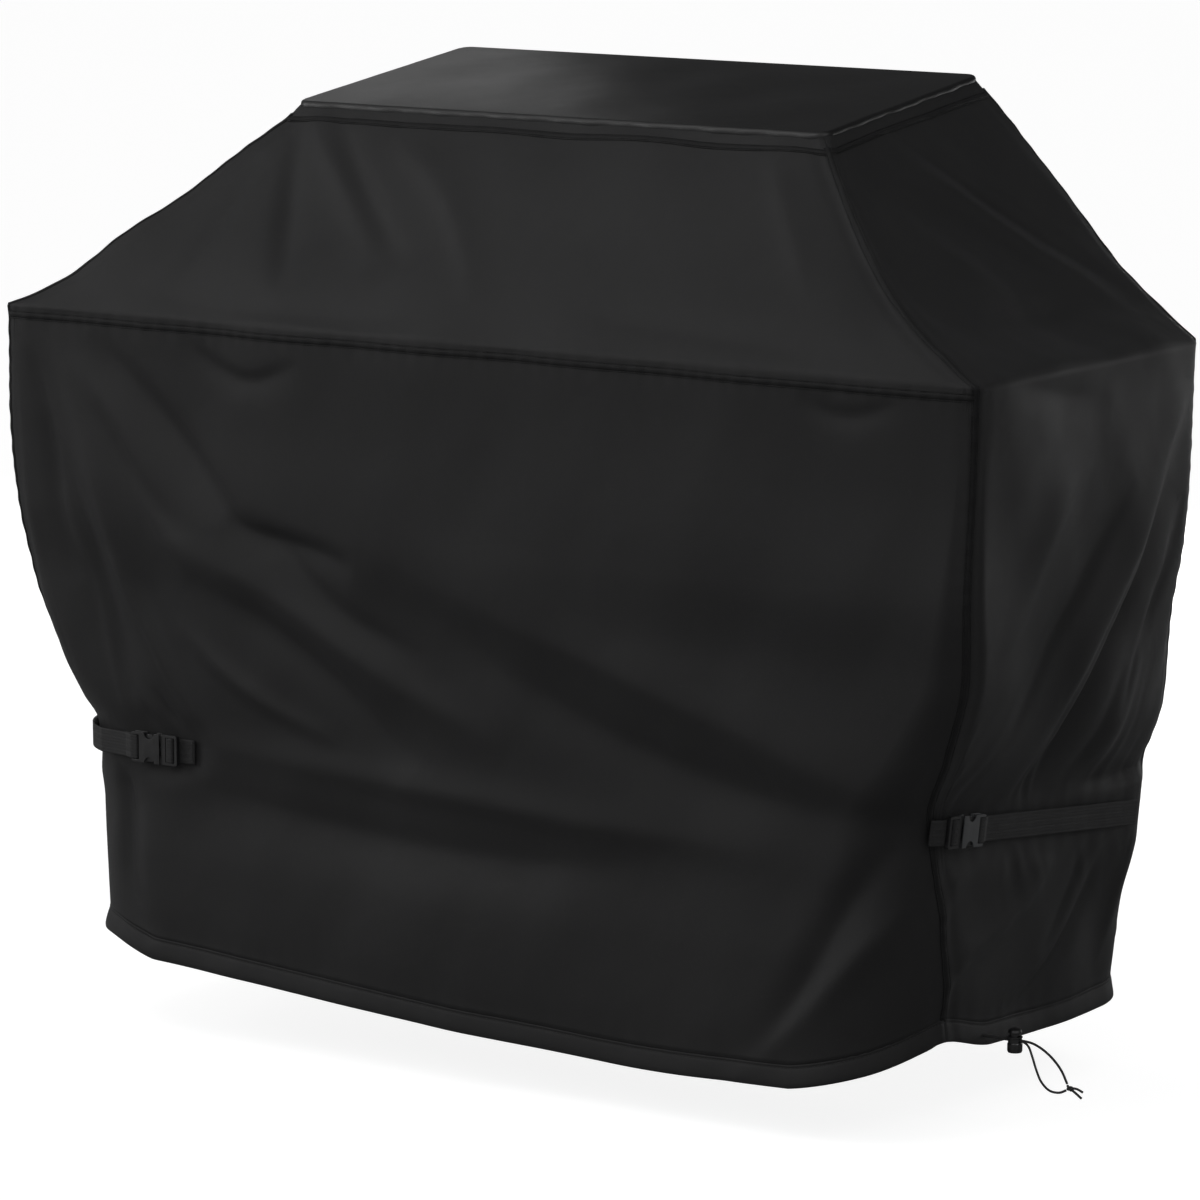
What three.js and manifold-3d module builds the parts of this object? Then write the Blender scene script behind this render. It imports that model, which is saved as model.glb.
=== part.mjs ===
// Fitted fabric cover for a cart grill: sewn shell, two side straps with side-release buckles,
// and a hem drawcord with a spring cord lock. Millimetres, +Z up, front towards -Y.
// Heights are measured from the ground the grill stands on; the last group moves the origin
// to the grill_lid_seat, the middle of the top panel's underside.
import * as THREE from "three";
import Module from "manifold-3d";
import { mergeVertices } from "three/addons/utils/BufferGeometryUtils.js";

const wasm = await Module();
wasm.setup();

// ---- driving dimensions ----
const coverLength = 1473;         // 58 in, over the side shelves
const topHeight = 1220;           // front edge of the top panel
const shelfHeight = 952;          // fold where the cover rests on the side shelves
const strapHeight = 385;          // straps cinch the skirt here
const hemHeight = 115;            // hem at the corners
const topHalfLength = 397;
const topFrontY = -102;
const topBackY = 275;
const topRise = 48.5;             // back edge of the top panel above its front edge
const topCorner = 14;
const backY = 308;
const clothThickness = 1.6;         // cloth with its backing, thickened to a solid
const gap = 0.3;
const crossSeamHeight = 938;
const hemDepth = 25;
const seamWidth = 11;
const seamThickness = 1.2;
const tapeLift = 0.9;               // seam tapes stand this far off the flat facets under them
const webbingWidth = 32;
const webbingThickness = 1.6;
const cordRadius = 1.5;
const strandSpacing = 3.7;
const tilt = Math.atan2(topRise, topBackY - topFrontY);

// Plan of the skirt by height: half length and corner radius at the front and at the back,
// where the front and back faces stand, and how far round its front corner the seam runs.
const skirt = [
  { height: 115, front: 627, frontY: -304, frontR: 148, back: 642, backY: 306, backR: 90, seam: 0.95 },
  { height: 240, front: 632, frontY: -298, frontR: 128, back: 657, backY: 300, backR: 80, seam: 0.92 },
  { height: 330, front: 630, frontY: -288, frontR: 110, back: 680, backY: 289, backR: 68, seam: 0.87 },
  { height: 402, front: 632, frontY: -289, frontR: 96, back: 684, backY: 286, backR: 60, seam: 0.83 },
  { height: 490, front: 677, frontY: -294, frontR: 74, back: 703, backY: 297, backR: 60, seam: 0.72 },
  { height: 590, front: 718, frontY: -298, frontR: 55, back: 711, backY: 305, backR: 60, seam: 0.6 },
  { height: 690, front: 731, frontY: -308, frontR: 45, back: 724, backY: 308, backR: 60, seam: 0.53 },
  { height: 820, front: 735, frontY: -304, frontR: 32, back: 728, backY: 308, backR: 60, seam: 0.5 },
  { height: shelfHeight, front: coverLength / 2, frontY: -306, frontR: 24, back: 730, backY, backR: 58, seam: 0.5 },
];

// How much the hem dips below (or rises above) hemHeight on its way round. Place runs from
// 0 to 8: 0-1 front face, 1-2 front right corner, 2-3 right face, 3-4 back right corner, on.
const hemLine = [
  [-0.95, 12], [-0.4, 12], [0, -10], [0.25, -28], [0.55, -44], [0.8, -52], [1, -45], [1.4, -25],
  [1.8, 0], [1.95, 6], [2.25, -16], [2.7, -22], [3.4, -18], [4, -10], [4.5, -14], [5, -8],
  [5.4, -10], [6, -14], [6.5, -12], [7.05, 12],
];

const heightsBelow = [crossSeamHeight, 860, 770, 690, 620, 555, 495, 445, 405, 360, 310, 250, 190];
const heightsAbove = [1217, 1190, 1150, 1100, 1050, 1005, 975, 952];
const skirtTop = hemHeight + hemDepth + 1.5;

// ---- materials ----
const finish = (color, roughness, metalness = 0) => new THREE.MeshStandardMaterial({ color, roughness, metalness });
const shellCloth = () => finish(0x262626, 0.82);
const topCloth = () => finish(0x1c1c1d, 0.42);
const seamTape = () => finish(0x202020, 0.8);
const webbing = () => finish(0x1a1a1b, 0.9);
const bucklePlastic = () => finish(0x232326, 0.45);
const lockPlastic = () => finish(0x141415, 0.4);
const braid = () => finish(0x101010, 0.85);
const springSteel = () => finish(0xb8babd, 0.3, 1);

// ---- curve through stations, with no overshoot between them ----
function smooth(xs, ys, x) {
  const last = xs.length - 1;
  const slope = (i) => (ys[i + 1] - ys[i]) / (xs[i + 1] - xs[i]);
  const tangent = (i) => {
    if (i === 0) return slope(0);
    if (i === last) return slope(last - 1);
    const [a, b] = [slope(i - 1), slope(i)];
    return a * b <= 0 ? 0 : (2 * a * b) / (a + b);
  };
  const at = Math.min(Math.max(x, xs[0]), xs[last]);
  let i = 0;
  while (i < last - 1 && at > xs[i + 1]) i += 1;
  const h = xs[i + 1] - xs[i];
  const t = (at - xs[i]) / h;
  const [t2, t3] = [t * t, t * t * t];
  return (2 * t3 - 3 * t2 + 1) * ys[i] + (t3 - 2 * t2 + t) * h * tangent(i)
    + (3 * t2 - 2 * t3) * ys[i + 1] + (t3 - t2) * h * tangent(i + 1);
}

const skirtHeights = skirt.map((s) => s.height);
const skirtValue = (key, height) => smooth(skirtHeights, skirt.map((s) => s[key]), height);
const hemDip = (place) => smooth(hemLine.map((p) => p[0]), hemLine.map((p) => p[1]), ((place + 8.95) % 8) - 0.95);

// ---- plan of the cover at one height ----
function planAt(height) {
  if (height < shelfHeight) {
    const keys = ["front", "frontY", "frontR", "back", "backY", "backR", "seam"];
    return Object.fromEntries(keys.map((key) => [key, skirtValue(key, height)]));
  }
  const shelf = skirt[skirt.length - 1];
  const t = (topHeight - height) / (topHeight - shelfHeight);
  const spread = 0.8 * t + 0.2 * t ** 4;
  return {
    front: topHalfLength + (shelf.front - topHalfLength) * spread,
    back: topHalfLength + (shelf.back - topHalfLength) * spread,
    frontY: topFrontY + (shelf.frontY - topFrontY) * (1.12 * t - 0.12 * t * t),
    backY: topBackY + (backY - topBackY) * (1 - (1 - t) ** 3),
    frontR: topCorner + (shelf.frontR - topCorner) * t,
    backR: topCorner + (shelf.backR - topCorner) * t,
    seam: 0.5,
  };
}

function roundedCorner(corner, into, out, radius, part) {
  const turn = (Math.atan2(out.y, out.x) - Math.atan2(into.y, into.x) + 4 * Math.PI) % (2 * Math.PI);
  const start = corner.clone().addScaledVector(into, -radius * Math.tan(turn / 2));
  const inward = new THREE.Vector2(-into.y, into.x);
  const centre = start.clone().addScaledVector(inward, radius);
  return start.rotateAround(centre, turn * part);
}

function planPoint(height, place) {
  const p = planAt(height);
  const corners = [[-p.front, p.frontY], [p.front, p.frontY], [p.back, p.backY], [-p.back, p.backY]]
    .map(([x, y]) => new THREE.Vector2(x, y));
  const radii = [p.frontR, p.frontR, p.backR, p.backR];
  const runs = corners.map((c, i) => corners[(i + 1) % 4].clone().sub(c).normalize());
  const around = ((place % 8) + 8) % 8;
  const side = Math.floor(around / 2);
  const part = around - 2 * side;
  const next = (side + 1) % 4;
  if (part >= 1) return roundedCorner(corners[next], runs[side], runs[next], radii[next], part - 1);
  const from = roundedCorner(corners[side], runs[(side + 3) % 4], runs[side], radii[side], 1);
  const to = roundedCorner(corners[next], runs[side], runs[next], radii[next], 0);
  return from.lerp(to, part);
}

// Outer face of the cover at a height and a place round it.
function outerFace(height, place) {
  const plan = planPoint(height, place);
  let z = height;
  if (height > shelfHeight) {
    const share = (height - shelfHeight) / (topHeight - shelfHeight);
    z += share * (plan.y - topFrontY) * Math.tan(tilt);
  }
  if (height < strapHeight) {
    const share = Math.min((strapHeight - height) / (strapHeight - skirtTop), 1);
    z += share * share * hemDip(place);
  }
  return new THREE.Vector3(plan.x, plan.y, z);
}

function outward(height, place) {
  const [dh, dp] = [4, 0.01];
  const up = Math.min(height + dh, topHeight);
  const along = outerFace(height, place + dp).sub(outerFace(height, place - dp));
  const rise = outerFace(up, place).sub(outerFace(height - dh, place));
  return along.cross(rise).normalize();
}

const offsetFace = (height, place, lift) => outerFace(height, place).addScaledVector(outward(height, place), lift);

// Places of the four corner seams at a height.
const seamPlaces = {
  front_right: (height) => 1 + planAt(height).seam,
  back_right: () => 3.5,
  back_left: () => 5.5,
  front_left: (height) => 8 - planAt(height).seam,
};

// ---- solids from grids of points ----
// rows x columns of points on the outer skin and on the inner skin, closed round the rim.
function slabFromGrids(outer, inner) {
  const [rows, cols] = [outer.length, outer[0].length];
  const points = [...outer.flat(), ...inner.flat()];
  const o = (r, c) => r * cols + c;
  const n = (r, c) => rows * cols + r * cols + c;
  const index = [];
  const quad = (a, b, c, d) => index.push(a, b, c, a, c, d);
  for (let r = 0; r < rows - 1; r += 1) {
    for (let c = 0; c < cols - 1; c += 1) {
      quad(o(r + 1, c), o(r + 1, c + 1), o(r, c + 1), o(r, c));
      quad(n(r, c), n(r, c + 1), n(r + 1, c + 1), n(r + 1, c));
    }
  }
  for (let c = 0; c < cols - 1; c += 1) {
    quad(o(0, c), o(0, c + 1), n(0, c + 1), n(0, c));
    quad(n(rows - 1, c), n(rows - 1, c + 1), o(rows - 1, c + 1), o(rows - 1, c));
  }
  for (let r = 0; r < rows - 1; r += 1) {
    quad(o(r + 1, 0), o(r, 0), n(r, 0), n(r + 1, 0));
    quad(o(r, cols - 1), o(r + 1, cols - 1), n(r + 1, cols - 1), n(r, cols - 1));
  }
  return indexedGeometry(points, index);
}

function indexedGeometry(points, index) {
  const geometry = new THREE.BufferGeometry();
  geometry.setAttribute("position", new THREE.Float32BufferAttribute(points.flatMap((p) => p.toArray()), 3));
  geometry.setIndex(index);
  return geometry;
}

// A closed section carried through a list of stations; each station is a ring of points.
function loftRings(rings, closed) {
  const count = rings[0].length;
  const points = rings.flat();
  const index = [];
  const last = closed ? rings.length : rings.length - 1;
  for (let i = 0; i < last; i += 1) {
    const [a, b] = [i * count, ((i + 1) % rings.length) * count];
    for (let k = 0; k < count; k += 1) {
      const l = (k + 1) % count;
      index.push(a + k, b + k, b + l, a + k, b + l, a + l);
    }
  }
  if (!closed) {
    const flat = capTriangles(rings[0]);
    const end = (rings.length - 1) * count;
    flat.forEach(([p, q, r]) => index.push(p, q, r, end + p, end + r, end + q));
  }
  return indexedGeometry(points, signedVolume(points, index) < 0 ? index.toReversed() : index);
}

// Positive when the faces point outwards.
function signedVolume(points, index) {
  let sum = 0;
  for (let i = 0; i < index.length; i += 3) {
    const [a, b, c] = [points[index[i]], points[index[i + 1]], points[index[i + 2]]];
    sum += a.dot(b.clone().cross(c));
  }
  return sum;
}

function capTriangles(ring) {
  const origin = ring[0];
  const normal = new THREE.Vector3();
  ring.forEach((p, i) => normal.add(p.clone().sub(origin).cross(ring[(i + 1) % ring.length].clone().sub(origin))));
  normal.normalize();
  const u = ring[1].clone().sub(origin).normalize();
  const v = normal.clone().cross(u);
  const flat = ring.map((p) => new THREE.Vector2(p.clone().sub(origin).dot(u), p.clone().sub(origin).dot(v)));
  return THREE.ShapeUtils.triangulateShape(flat, []);
}

// ---- booleans ----
function toSolid(geometry) {
  const bare = geometry.clone();
  bare.deleteAttribute("normal");
  bare.deleteAttribute("uv");
  const merged = mergeVertices(bare, 1e-4);
  const vertProperties = new Float32Array(merged.attributes.position.array);
  const triVerts = new Uint32Array(merged.index.array);
  return new wasm.Manifold(new wasm.Mesh({ numProp: 3, vertProperties, triVerts }));
}

function toGeometry(solid) {
  const mesh = solid.getMesh();
  const geometry = new THREE.BufferGeometry();
  geometry.setAttribute("position", new THREE.BufferAttribute(new Float32Array(mesh.vertProperties), 3));
  geometry.setIndex(new THREE.BufferAttribute(new Uint32Array(mesh.triVerts), 1));
  return geometry;
}

const join = (first, ...rest) => toGeometry(rest.reduce((sum, g) => sum.add(toSolid(g)), toSolid(first)));
const cut = (first, ...rest) => toGeometry(rest.reduce((sum, g) => sum.subtract(toSolid(g)), toSolid(first)));

function boxAt(x0, x1, y0, y1, z0, z1) {
  const box = new THREE.BoxGeometry(x1 - x0, y1 - y0, z1 - z0);
  return box.translate((x0 + x1) / 2, (y0 + y1) / 2, (z0 + z1) / 2);
}

function plate(shape, z0, z1) {
  return new THREE.ExtrudeGeometry(shape, { depth: z1 - z0, bevelEnabled: false, curveSegments: 8 }).translate(0, 0, z0);
}

function named(name, geometry, material) {
  const mesh = new THREE.Mesh(geometry, material);
  mesh.name = name;
  return mesh;
}

// ---- the sewn shell ----
const spread = (from, to, steps) => Array.from({ length: steps + 1 }, (_, i) => from + ((to - from) * i) / steps);

// Places across one panel: a few through each corner it shares, and along its flat face.
function placesAcross(from, to, flatSteps, arcSteps) {
  const [first, second] = [Math.ceil(from - 1e-9), Math.floor(to + 1e-9)];
  return [
    ...spread(from, first, arcSteps).slice(0, -1),
    ...spread(first, second, flatSteps),
    ...spread(second, to, arcSteps).slice(1),
  ];
}

const seamClearance = 0.0006;     // share of a place step that parts two panels at their seam

function panel(heights, from, to, [flatSteps, arcSteps]) {
  const grid = (lift) => heights.map((height) => {
    const [a, b] = [from(height), to(height)];
    const inset = seamClearance * 20;
    return placesAcross(a + inset, b - inset, flatSteps, arcSteps).map((place) => offsetFace(height, place, lift));
  });
  return slabFromGrids(grid(0), grid(-clothThickness));
}

const frontFrom = (height) => -planAt(height).seam;
const { front_right: frontRight, back_right: backRight, back_left: backLeft, front_left: frontLeft } = seamPlaces;
const above = [...heightsAbove, crossSeamHeight + gap];
const below = [crossSeamHeight - gap, ...heightsBelow.slice(1), skirtTop];
const whole = [...heightsAbove, ...heightsBelow, skirtTop];
const [frontSteps, sideSteps, backSteps] = [[8, 4], [5, 3], [6, 3]];   // along the flat, round each corner

function topPanel() {
  const [length, depth] = [2 * topHalfLength, (topBackY - topFrontY) / Math.cos(tilt)];
  const r = topCorner;
  const outline = new THREE.Shape();
  outline.absarc(length / 2 - r, depth / 2 - r, r, 0, Math.PI / 2);
  outline.absarc(-length / 2 + r, depth / 2 - r, r, Math.PI / 2, Math.PI);
  outline.absarc(-length / 2 + r, -depth / 2 + r, r, Math.PI, Math.PI * 1.5);
  outline.absarc(length / 2 - r, -depth / 2 + r, r, Math.PI * 1.5, Math.PI * 2);
  const geometry = new THREE.ExtrudeGeometry(outline, { depth: clothThickness, bevelEnabled: false, curveSegments: 4 });
  const mesh = named("top_panel", geometry, topCloth());
  mesh.rotation.x = tilt;
  mesh.position.set(0, (topFrontY + topBackY) / 2, topHeight + topRise / 2);
  return mesh;
}

// A flat tape lying on the shell, its section given across the run.
function tape(stations, width, thickness, closed) {
  const rings = stations.map(({ height, place, across }) => {
    const out = outward(height, place);
    const base = outerFace(height, place).addScaledVector(out, tapeLift);
    const side = across(out);
    return [[-1, 0], [1, 0], [1, 1], [-1, 1]].map(([s, k]) => base.clone()
      .addScaledVector(side, (s * width) / 2).addScaledVector(out, k * thickness));
  });
  return loftRings(rings, closed);
}

const levelAcross = (out) => new THREE.Vector3(0, 0, 1).addScaledVector(out, -out.z).normalize();

function cornerSeam(place, heights) {
  const stations = heights.map((height, i) => {
    const nextHeight = heights[Math.min(i + 1, heights.length - 1)];
    const lastHeight = heights[Math.max(i - 1, 0)];
    const run = outerFace(lastHeight, place(lastHeight)).sub(outerFace(nextHeight, place(nextHeight)));
    return { height, place: place(height), across: (out) => out.clone().cross(run).normalize() };
  });
  return tape(stations, seamWidth, seamThickness, false);
}

function crossSeam(from, to, flatSteps) {
  const stations = placesAcross(from, to, flatSteps, 2)
    .map((place) => ({ height: crossSeamHeight, place, across: levelAcross }));
  return tape(stations, seamWidth, seamThickness, false);
}

function topBinding() {
  const height = topHeight - 8;
  const places = [0, 2, 4, 6].flatMap((side) => [...spread(side, side + 1, 4), ...spread(side + 1, side + 2, 4).slice(1, -1)]);
  return tape(places.map((place) => ({ height, place, across: (out) => slopeUp(height, place, out) })), 14, seamThickness, true);
}

function slopeUp(height, place, out) {
  const rise = outerFace(height + 4, place).sub(outerFace(height - 4, place));
  return rise.addScaledVector(out, -rise.dot(out)).normalize();
}

// Hem: cloth turned up inside, open at its top edge, with the drawcord in its fold.
const channelRoom = 5.4;
const hemFoot = (place) => outerFace(skirtTop, place).sub(new THREE.Vector3(0, 0, skirtTop - hemHeight));

function hemChannel(from, to, [flatSteps, arcSteps]) {
  const inset = seamClearance * 20;
  const stations = placesAcross(from + inset, to - inset, flatSteps, arcSteps);
  const rings = stations.map((place) => {
    const out = outward(skirtTop, place).setZ(0).normalize();
    const foot = hemFoot(place);
    const at = (inwards, rise) => foot.clone().addScaledVector(out, -inwards).setZ(foot.z + rise);
    const [t, w] = [clothThickness, clothThickness + channelRoom];
    return [at(0, 0), at(0, hemDepth), at(t, hemDepth), at(t, t), at(w, t), at(w, hemDepth - 3),
      at(w + t, hemDepth - 3), at(w + t, 0)];
  });
  return loftRings(rings, false);
}

// ---- cord ----
const circle = (sides) => spread(0, 2 * Math.PI, sides).slice(1).map((a) => [Math.cos(a), Math.sin(a)]);
const cordPlace = 2.2;
const cordRise = 12;
const cordExit = hemFoot(cordPlace).add(new THREE.Vector3(0, 0, cordRise));
const lockOffset = 46;            // cord lock's axis from the hem's face
const channelMiddle = clothThickness + channelRoom / 2;

function cordTube(points, steps) {
  const path = new THREE.CatmullRomCurve3(points, false, "centripetal");
  const section = new THREE.Shape();
  section.absarc(0, 0, cordRadius, 0, Math.PI * 2);
  return new THREE.ExtrudeGeometry(section, { steps, bevelEnabled: false, extrudePath: path, curveSegments: 4 });
}

// Places of every hem station, once round from one cord end to the other.
function hemPlaces() {
  const seam = (place) => place(skirtTop);
  const runs = [
    [seam(frontRight), seam(backRight), sideSteps],
    [seam(backRight), seam(backLeft), backSteps],
    [seam(backLeft), seam(frontLeft), sideSteps],
    [8 + frontFrom(skirtTop), 8 + seam(frontRight), frontSteps],
    [8 + seam(frontRight), 8 + seam(backRight), sideSteps],
  ];
  const all = runs.flatMap(([from, to, [flat, arc]]) => placesAcross(from, to, flat, arc).slice(1));
  const [first, last] = [cordPlace + 0.03, cordPlace + 8 - 0.03];
  return [first, ...all.filter((place) => place > first && place < last), last];
}

function drawcordInHem() {
  const places = hemPlaces();
  const spots = places.map((place) => {
    const out = outward(skirtTop, place).setZ(0).normalize();
    const foot = hemFoot(place).addScaledVector(out, -channelMiddle);
    return foot.setZ(foot.z + clothThickness + 1 + cordRadius);
  });
  const rings = spots.map((spot, i) => {
    const run = spots[Math.min(i + 1, spots.length - 1)].clone().sub(spots[Math.max(i - 1, 0)]).normalize();
    const side = run.clone().cross(new THREE.Vector3(0, 0, 1)).normalize();
    const up = side.clone().cross(run);
    return circle(8).map(([c, k]) => spot.clone().addScaledVector(side, cordRadius * c).addScaledVector(up, cordRadius * k));
  });
  return loftRings(rings, false);
}

// Each strand leaves the hem, runs level through the lock, then droops to the knot. Offsets
// from the exit: out from the side, back along it, and up.
const half = strandSpacing / 2;
const straight = [[-4.4, 0], [8, 0], [20, 0], [34, 0], [46, 0], [58, 0]];
const upperDroop = [[70, 3.5, -2], [82, 7.5, -9], [94, 11.5, -20], [104, 15, -34], [111, 17.5, -50]];
const lowerDroop = [[67, -4, -4], [75, -8, -15], [82, -10, -30], [89, -9, -45], [98, -3.5, -56], [107, 5, -59], [113, 11.5, -56.5]];
const knotAt = [114.5, 17.5, -55];
const fromExit = ([out, along, up]) => cordExit.clone().add(new THREE.Vector3(out, along, up));

function strand(side, droop) {
  const points = [...straight.map(([out]) => [out, side * half, 0]), ...droop];
  return cordTube(points.map(fromExit), 48);
}

function knot() {
  const body = new THREE.IcosahedronGeometry(5.2, 2).scale(1, 0.85, 0.9);
  body.translate(...fromExit(knotAt).toArray());
  const tail = (end, bend) => cordTube([knotAt, bend, end].map(fromExit), 8);
  return join(body, tail([126, 30, -61], [121, 23, -56]), tail([129, 22, -67], [122, 18.5, -60]));
}

const lockFoot = -15;             // below the strands
const lockRim = 5;
const lockRadius = 9.5;
const pistonRadius = 6.9;
const buttonTravel = 4;

function turned(points, segments = 24) {
  const profile = points.map(([r, z]) => new THREE.Vector2(r, z));
  return new THREE.LatheGeometry(profile, segments).rotateX(Math.PI / 2);
}

function lockBarrel() {
  const wall = pistonRadius + gap;
  const cup = turned([[0, lockFoot], [8.6, lockFoot], [lockRadius, lockFoot + 2], [lockRadius, -4], [8.7, -2.8],
    [8.7, 2.8], [lockRadius, 3.6], [lockRadius, lockRim], [wall, lockRim], [wall, lockFoot + 1.8], [0, lockFoot + 1.8]]);
  return cut(cup, boxAt(-15, 15, -half - 1.9, half + 1.9, -2.1, 2.1));
}

function lockButton() {
  const headFoot = lockRim + gap + buttonTravel;
  const piston = turned([[0, -5.6], [pistonRadius - 0.6, -5.6], [pistonRadius, -5], [pistonRadius, headFoot],
    [8.5, headFoot], [8.8, headFoot + 1.4], [7.9, headFoot + 4], [5, headFoot + 5.6], [0, headFoot + 6.2]]);
  return cut(piston, boxAt(-15, 15, -half - 1.9, half + 1.9, -2.1, 2.1 + buttonTravel));
}

const springFoot = lockFoot + 1.8 + gap;
const springTop = -5.6 - gap;

function lockSpring() {
  const [turns, steps, coil, wire] = [4, 64, 4.4, 0.45];
  const [low, high] = [springFoot + wire, springTop - wire];
  const rings = spread(0, 1, steps).map((t) => {
    const angle = t * turns * 2 * Math.PI;
    const radial = new THREE.Vector3(Math.cos(angle), Math.sin(angle), 0);
    const middle = radial.clone().multiplyScalar(coil).setZ(low + (high - low) * t);
    return circle(6).map(([c, k]) => middle.clone().addScaledVector(radial, wire * c).add(new THREE.Vector3(0, 0, wire * k)));
  });
  return loftRings(rings, false);
}

function cordSet() {
  const group = new THREE.Group();
  group.add(named("hem_drawcord", drawcordInHem(), braid()));
  group.add(named("cord_strand_upper", strand(1, upperDroop), braid()));
  group.add(named("cord_strand_lower", strand(-1, lowerDroop), braid()));
  group.add(named("cord_knot", knot(), braid()));
  const lock = new THREE.Group();
  lock.position.copy(cordExit).add(new THREE.Vector3(lockOffset, 0, 0));
  lock.add(named("cord_lock_barrel", lockBarrel(), lockPlastic()));
  lock.add(named("cord_lock_button", lockButton(), lockPlastic()));
  lock.add(named("cord_lock_spring", lockSpring(), springSteel()));
  group.add(lock);
  return group;
}

// ---- buckles, in their own frame: +X from plug to socket, +Y across, +Z off the cover ----
const buckleLift = 7.6;           // middle of the buckle above the cover's face
const buckleHalf = 20;
const slotHalf = webbingWidth / 2 + 0.6;
const plugLength = 26;
const prongHalf = 2.6;
const socketMouth = 1;
const socketEnd = 46;

function roundedOutline(x0, x1, halfWidth, radius) {
  const s = new THREE.Shape();
  s.absarc(x1 - radius, halfWidth - radius, radius, 0, Math.PI / 2);
  s.absarc(x0 + radius, halfWidth - radius, radius, Math.PI / 2, Math.PI);
  s.absarc(x0 + radius, -halfWidth + radius, radius, Math.PI, Math.PI * 1.5);
  s.absarc(x1 - radius, -halfWidth + radius, radius, Math.PI * 1.5, Math.PI * 2);
  return s;
}

function plugBody() {
  const frame = plate(roundedOutline(-plugLength, 0, buckleHalf, 3), -prongHalf, prongHalf);
  const tongue = boxAt(-1, 23, -2.4, 2.4, -2, 2);
  const slots = [[-22, -17.6], [-12, -7.6]].map(([a, b]) => boxAt(a, b, -slotHalf, slotHalf, -9, 9));
  return cut(join(frame, tongue), ...slots);
}

// A springy side arm with a hooked tip; side is +1 for the arm towards +Y.
function prong(side) {
  const s = new THREE.Shape();
  s.moveTo(gap, 9.6);
  s.lineTo(17, 9.6);
  s.quadraticCurveTo(24, 9.8, 27, 12.2);
  s.quadraticCurveTo(25.5, 16.6, 20, 18.2);
  s.lineTo(13, 18.2);
  s.lineTo(12.4, 14.4);
  s.lineTo(gap, 14.4);
  s.closePath();
  const arm = plate(s, -prongHalf, prongHalf);
  return side > 0 ? arm : arm.rotateX(Math.PI);
}

function socketBody() {
  const faceShape = () => {
    const s = new THREE.Shape();
    const [notch, middle] = [8, 17.5];
    s.moveTo(socketMouth, -buckleHalf);
    s.lineTo(middle - notch, -buckleHalf);
    s.absarc(middle, -buckleHalf, notch, Math.PI, 0, true);
    s.lineTo(socketEnd - 3, -buckleHalf);
    s.absarc(socketEnd - 3, -buckleHalf + 3, 3, Math.PI * 1.5, Math.PI * 2);
    s.absarc(socketEnd - 3, buckleHalf - 3, 3, 0, Math.PI / 2);
    s.lineTo(middle + notch, buckleHalf);
    s.absarc(middle, buckleHalf, notch, 0, Math.PI, true);
    s.lineTo(socketMouth, buckleHalf);
    s.closePath();
    return s;
  };
  const faces = [[-5, -3.2], [3.2, 5]].map(([a, b]) => plate(faceShape(), a, b));
  const block = boxAt(30, socketEnd - 1, -buckleHalf + 1, buckleHalf - 1, -4, 4);
  const strapSlot = boxAt(34, 40.4, -slotHalf, slotHalf, -9, 9);
  const barRelief = [[-9, -2.4], [2.4, 9]].map(([a, b]) => boxAt(39, 50, -slotHalf, slotHalf, a, b));
  return cut(join(faces[0], faces[1], block), strapSlot, ...barRelief);
}

// A band of webbing whose middle line runs through points [x, z] of the buckle's frame.
function bandThrough(points) {
  const line = points.map(([x, z]) => new THREE.Vector2(x, z));
  const offset = (k) => line.map((p, i) => {
    const before = i > 0 ? p.clone().sub(line[i - 1]).normalize() : null;
    const after = i < line.length - 1 ? line[i + 1].clone().sub(p).normalize() : null;
    const [a, b] = [before ?? after, after ?? before];
    const na = new THREE.Vector2(-a.y, a.x);
    const nb = new THREE.Vector2(-b.y, b.x);
    const mitre = na.clone().add(nb).normalize();
    return p.clone().addScaledVector(mitre, (k * webbingThickness) / 2 / Math.max(mitre.dot(na), 0.3));
  });
  const shape = new THREE.Shape([...offset(1), ...offset(-1).reverse()]);
  return plate(shape, -webbingWidth / 2, webbingWidth / 2).rotateX(Math.PI / 2);
}

const tabLoop = [[-19.8, -buckleLift + 2.3], [-19.8, 3.9], [-9.8, 3.9], [-9.8, -1.5]];
const strapLoop = [[62, -5.1], [47.5, -3.7], [37.2, -3.7], [37.2, 3.7], [47.5, 3.7], [60, -2.4]];

function strapSet(side, spec) {
  const group = new THREE.Group();
  group.matrixAutoUpdate = false;
  group.matrix.copy(spec.frame);
  const prefix = `${side}_`;
  group.add(named(`${prefix}strap_tab`, bandThrough([...spec.tabEnd, ...tabLoop]), webbing()));
  group.add(named(`${prefix}buckle_plug`, plugBody(), bucklePlastic()));
  group.add(named(`${prefix}plug_prong_upper`, prong(spec.up), bucklePlastic()));
  group.add(named(`${prefix}plug_prong_lower`, prong(-spec.up), bucklePlastic()));
  group.add(named(`${prefix}buckle_socket`, socketBody(), bucklePlastic()));
  group.add(named(`${prefix}long_strap`, bandThrough([...strapLoop, ...spec.strapPath]), webbing()));
  group.add(named(`${prefix}strap_anchor`, bandThrough(spec.anchorPath), webbing()));
  return group;
}

// A frame on the cover: X along run, Z off the face, origin lifted off it.
function frameOn(point, run, out, lift) {
  const x = run.clone().normalize();
  const z = out.clone().addScaledVector(x, -out.dot(x)).normalize();
  const y = z.clone().cross(x);
  return new THREE.Matrix4().makeBasis(x, y, z).setPosition(point.clone().addScaledVector(z, lift));
}

// The buckle frame's [x, z] of points standing off the face along a line of heights and places.
function pathInFrame(frame, stations, lift) {
  const inverse = frame.clone().invert();
  return stations.map(([height, place]) => {
    const p = offsetFace(height, place, lift).applyMatrix4(inverse);
    return [p.x, p.z];
  });
}

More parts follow.
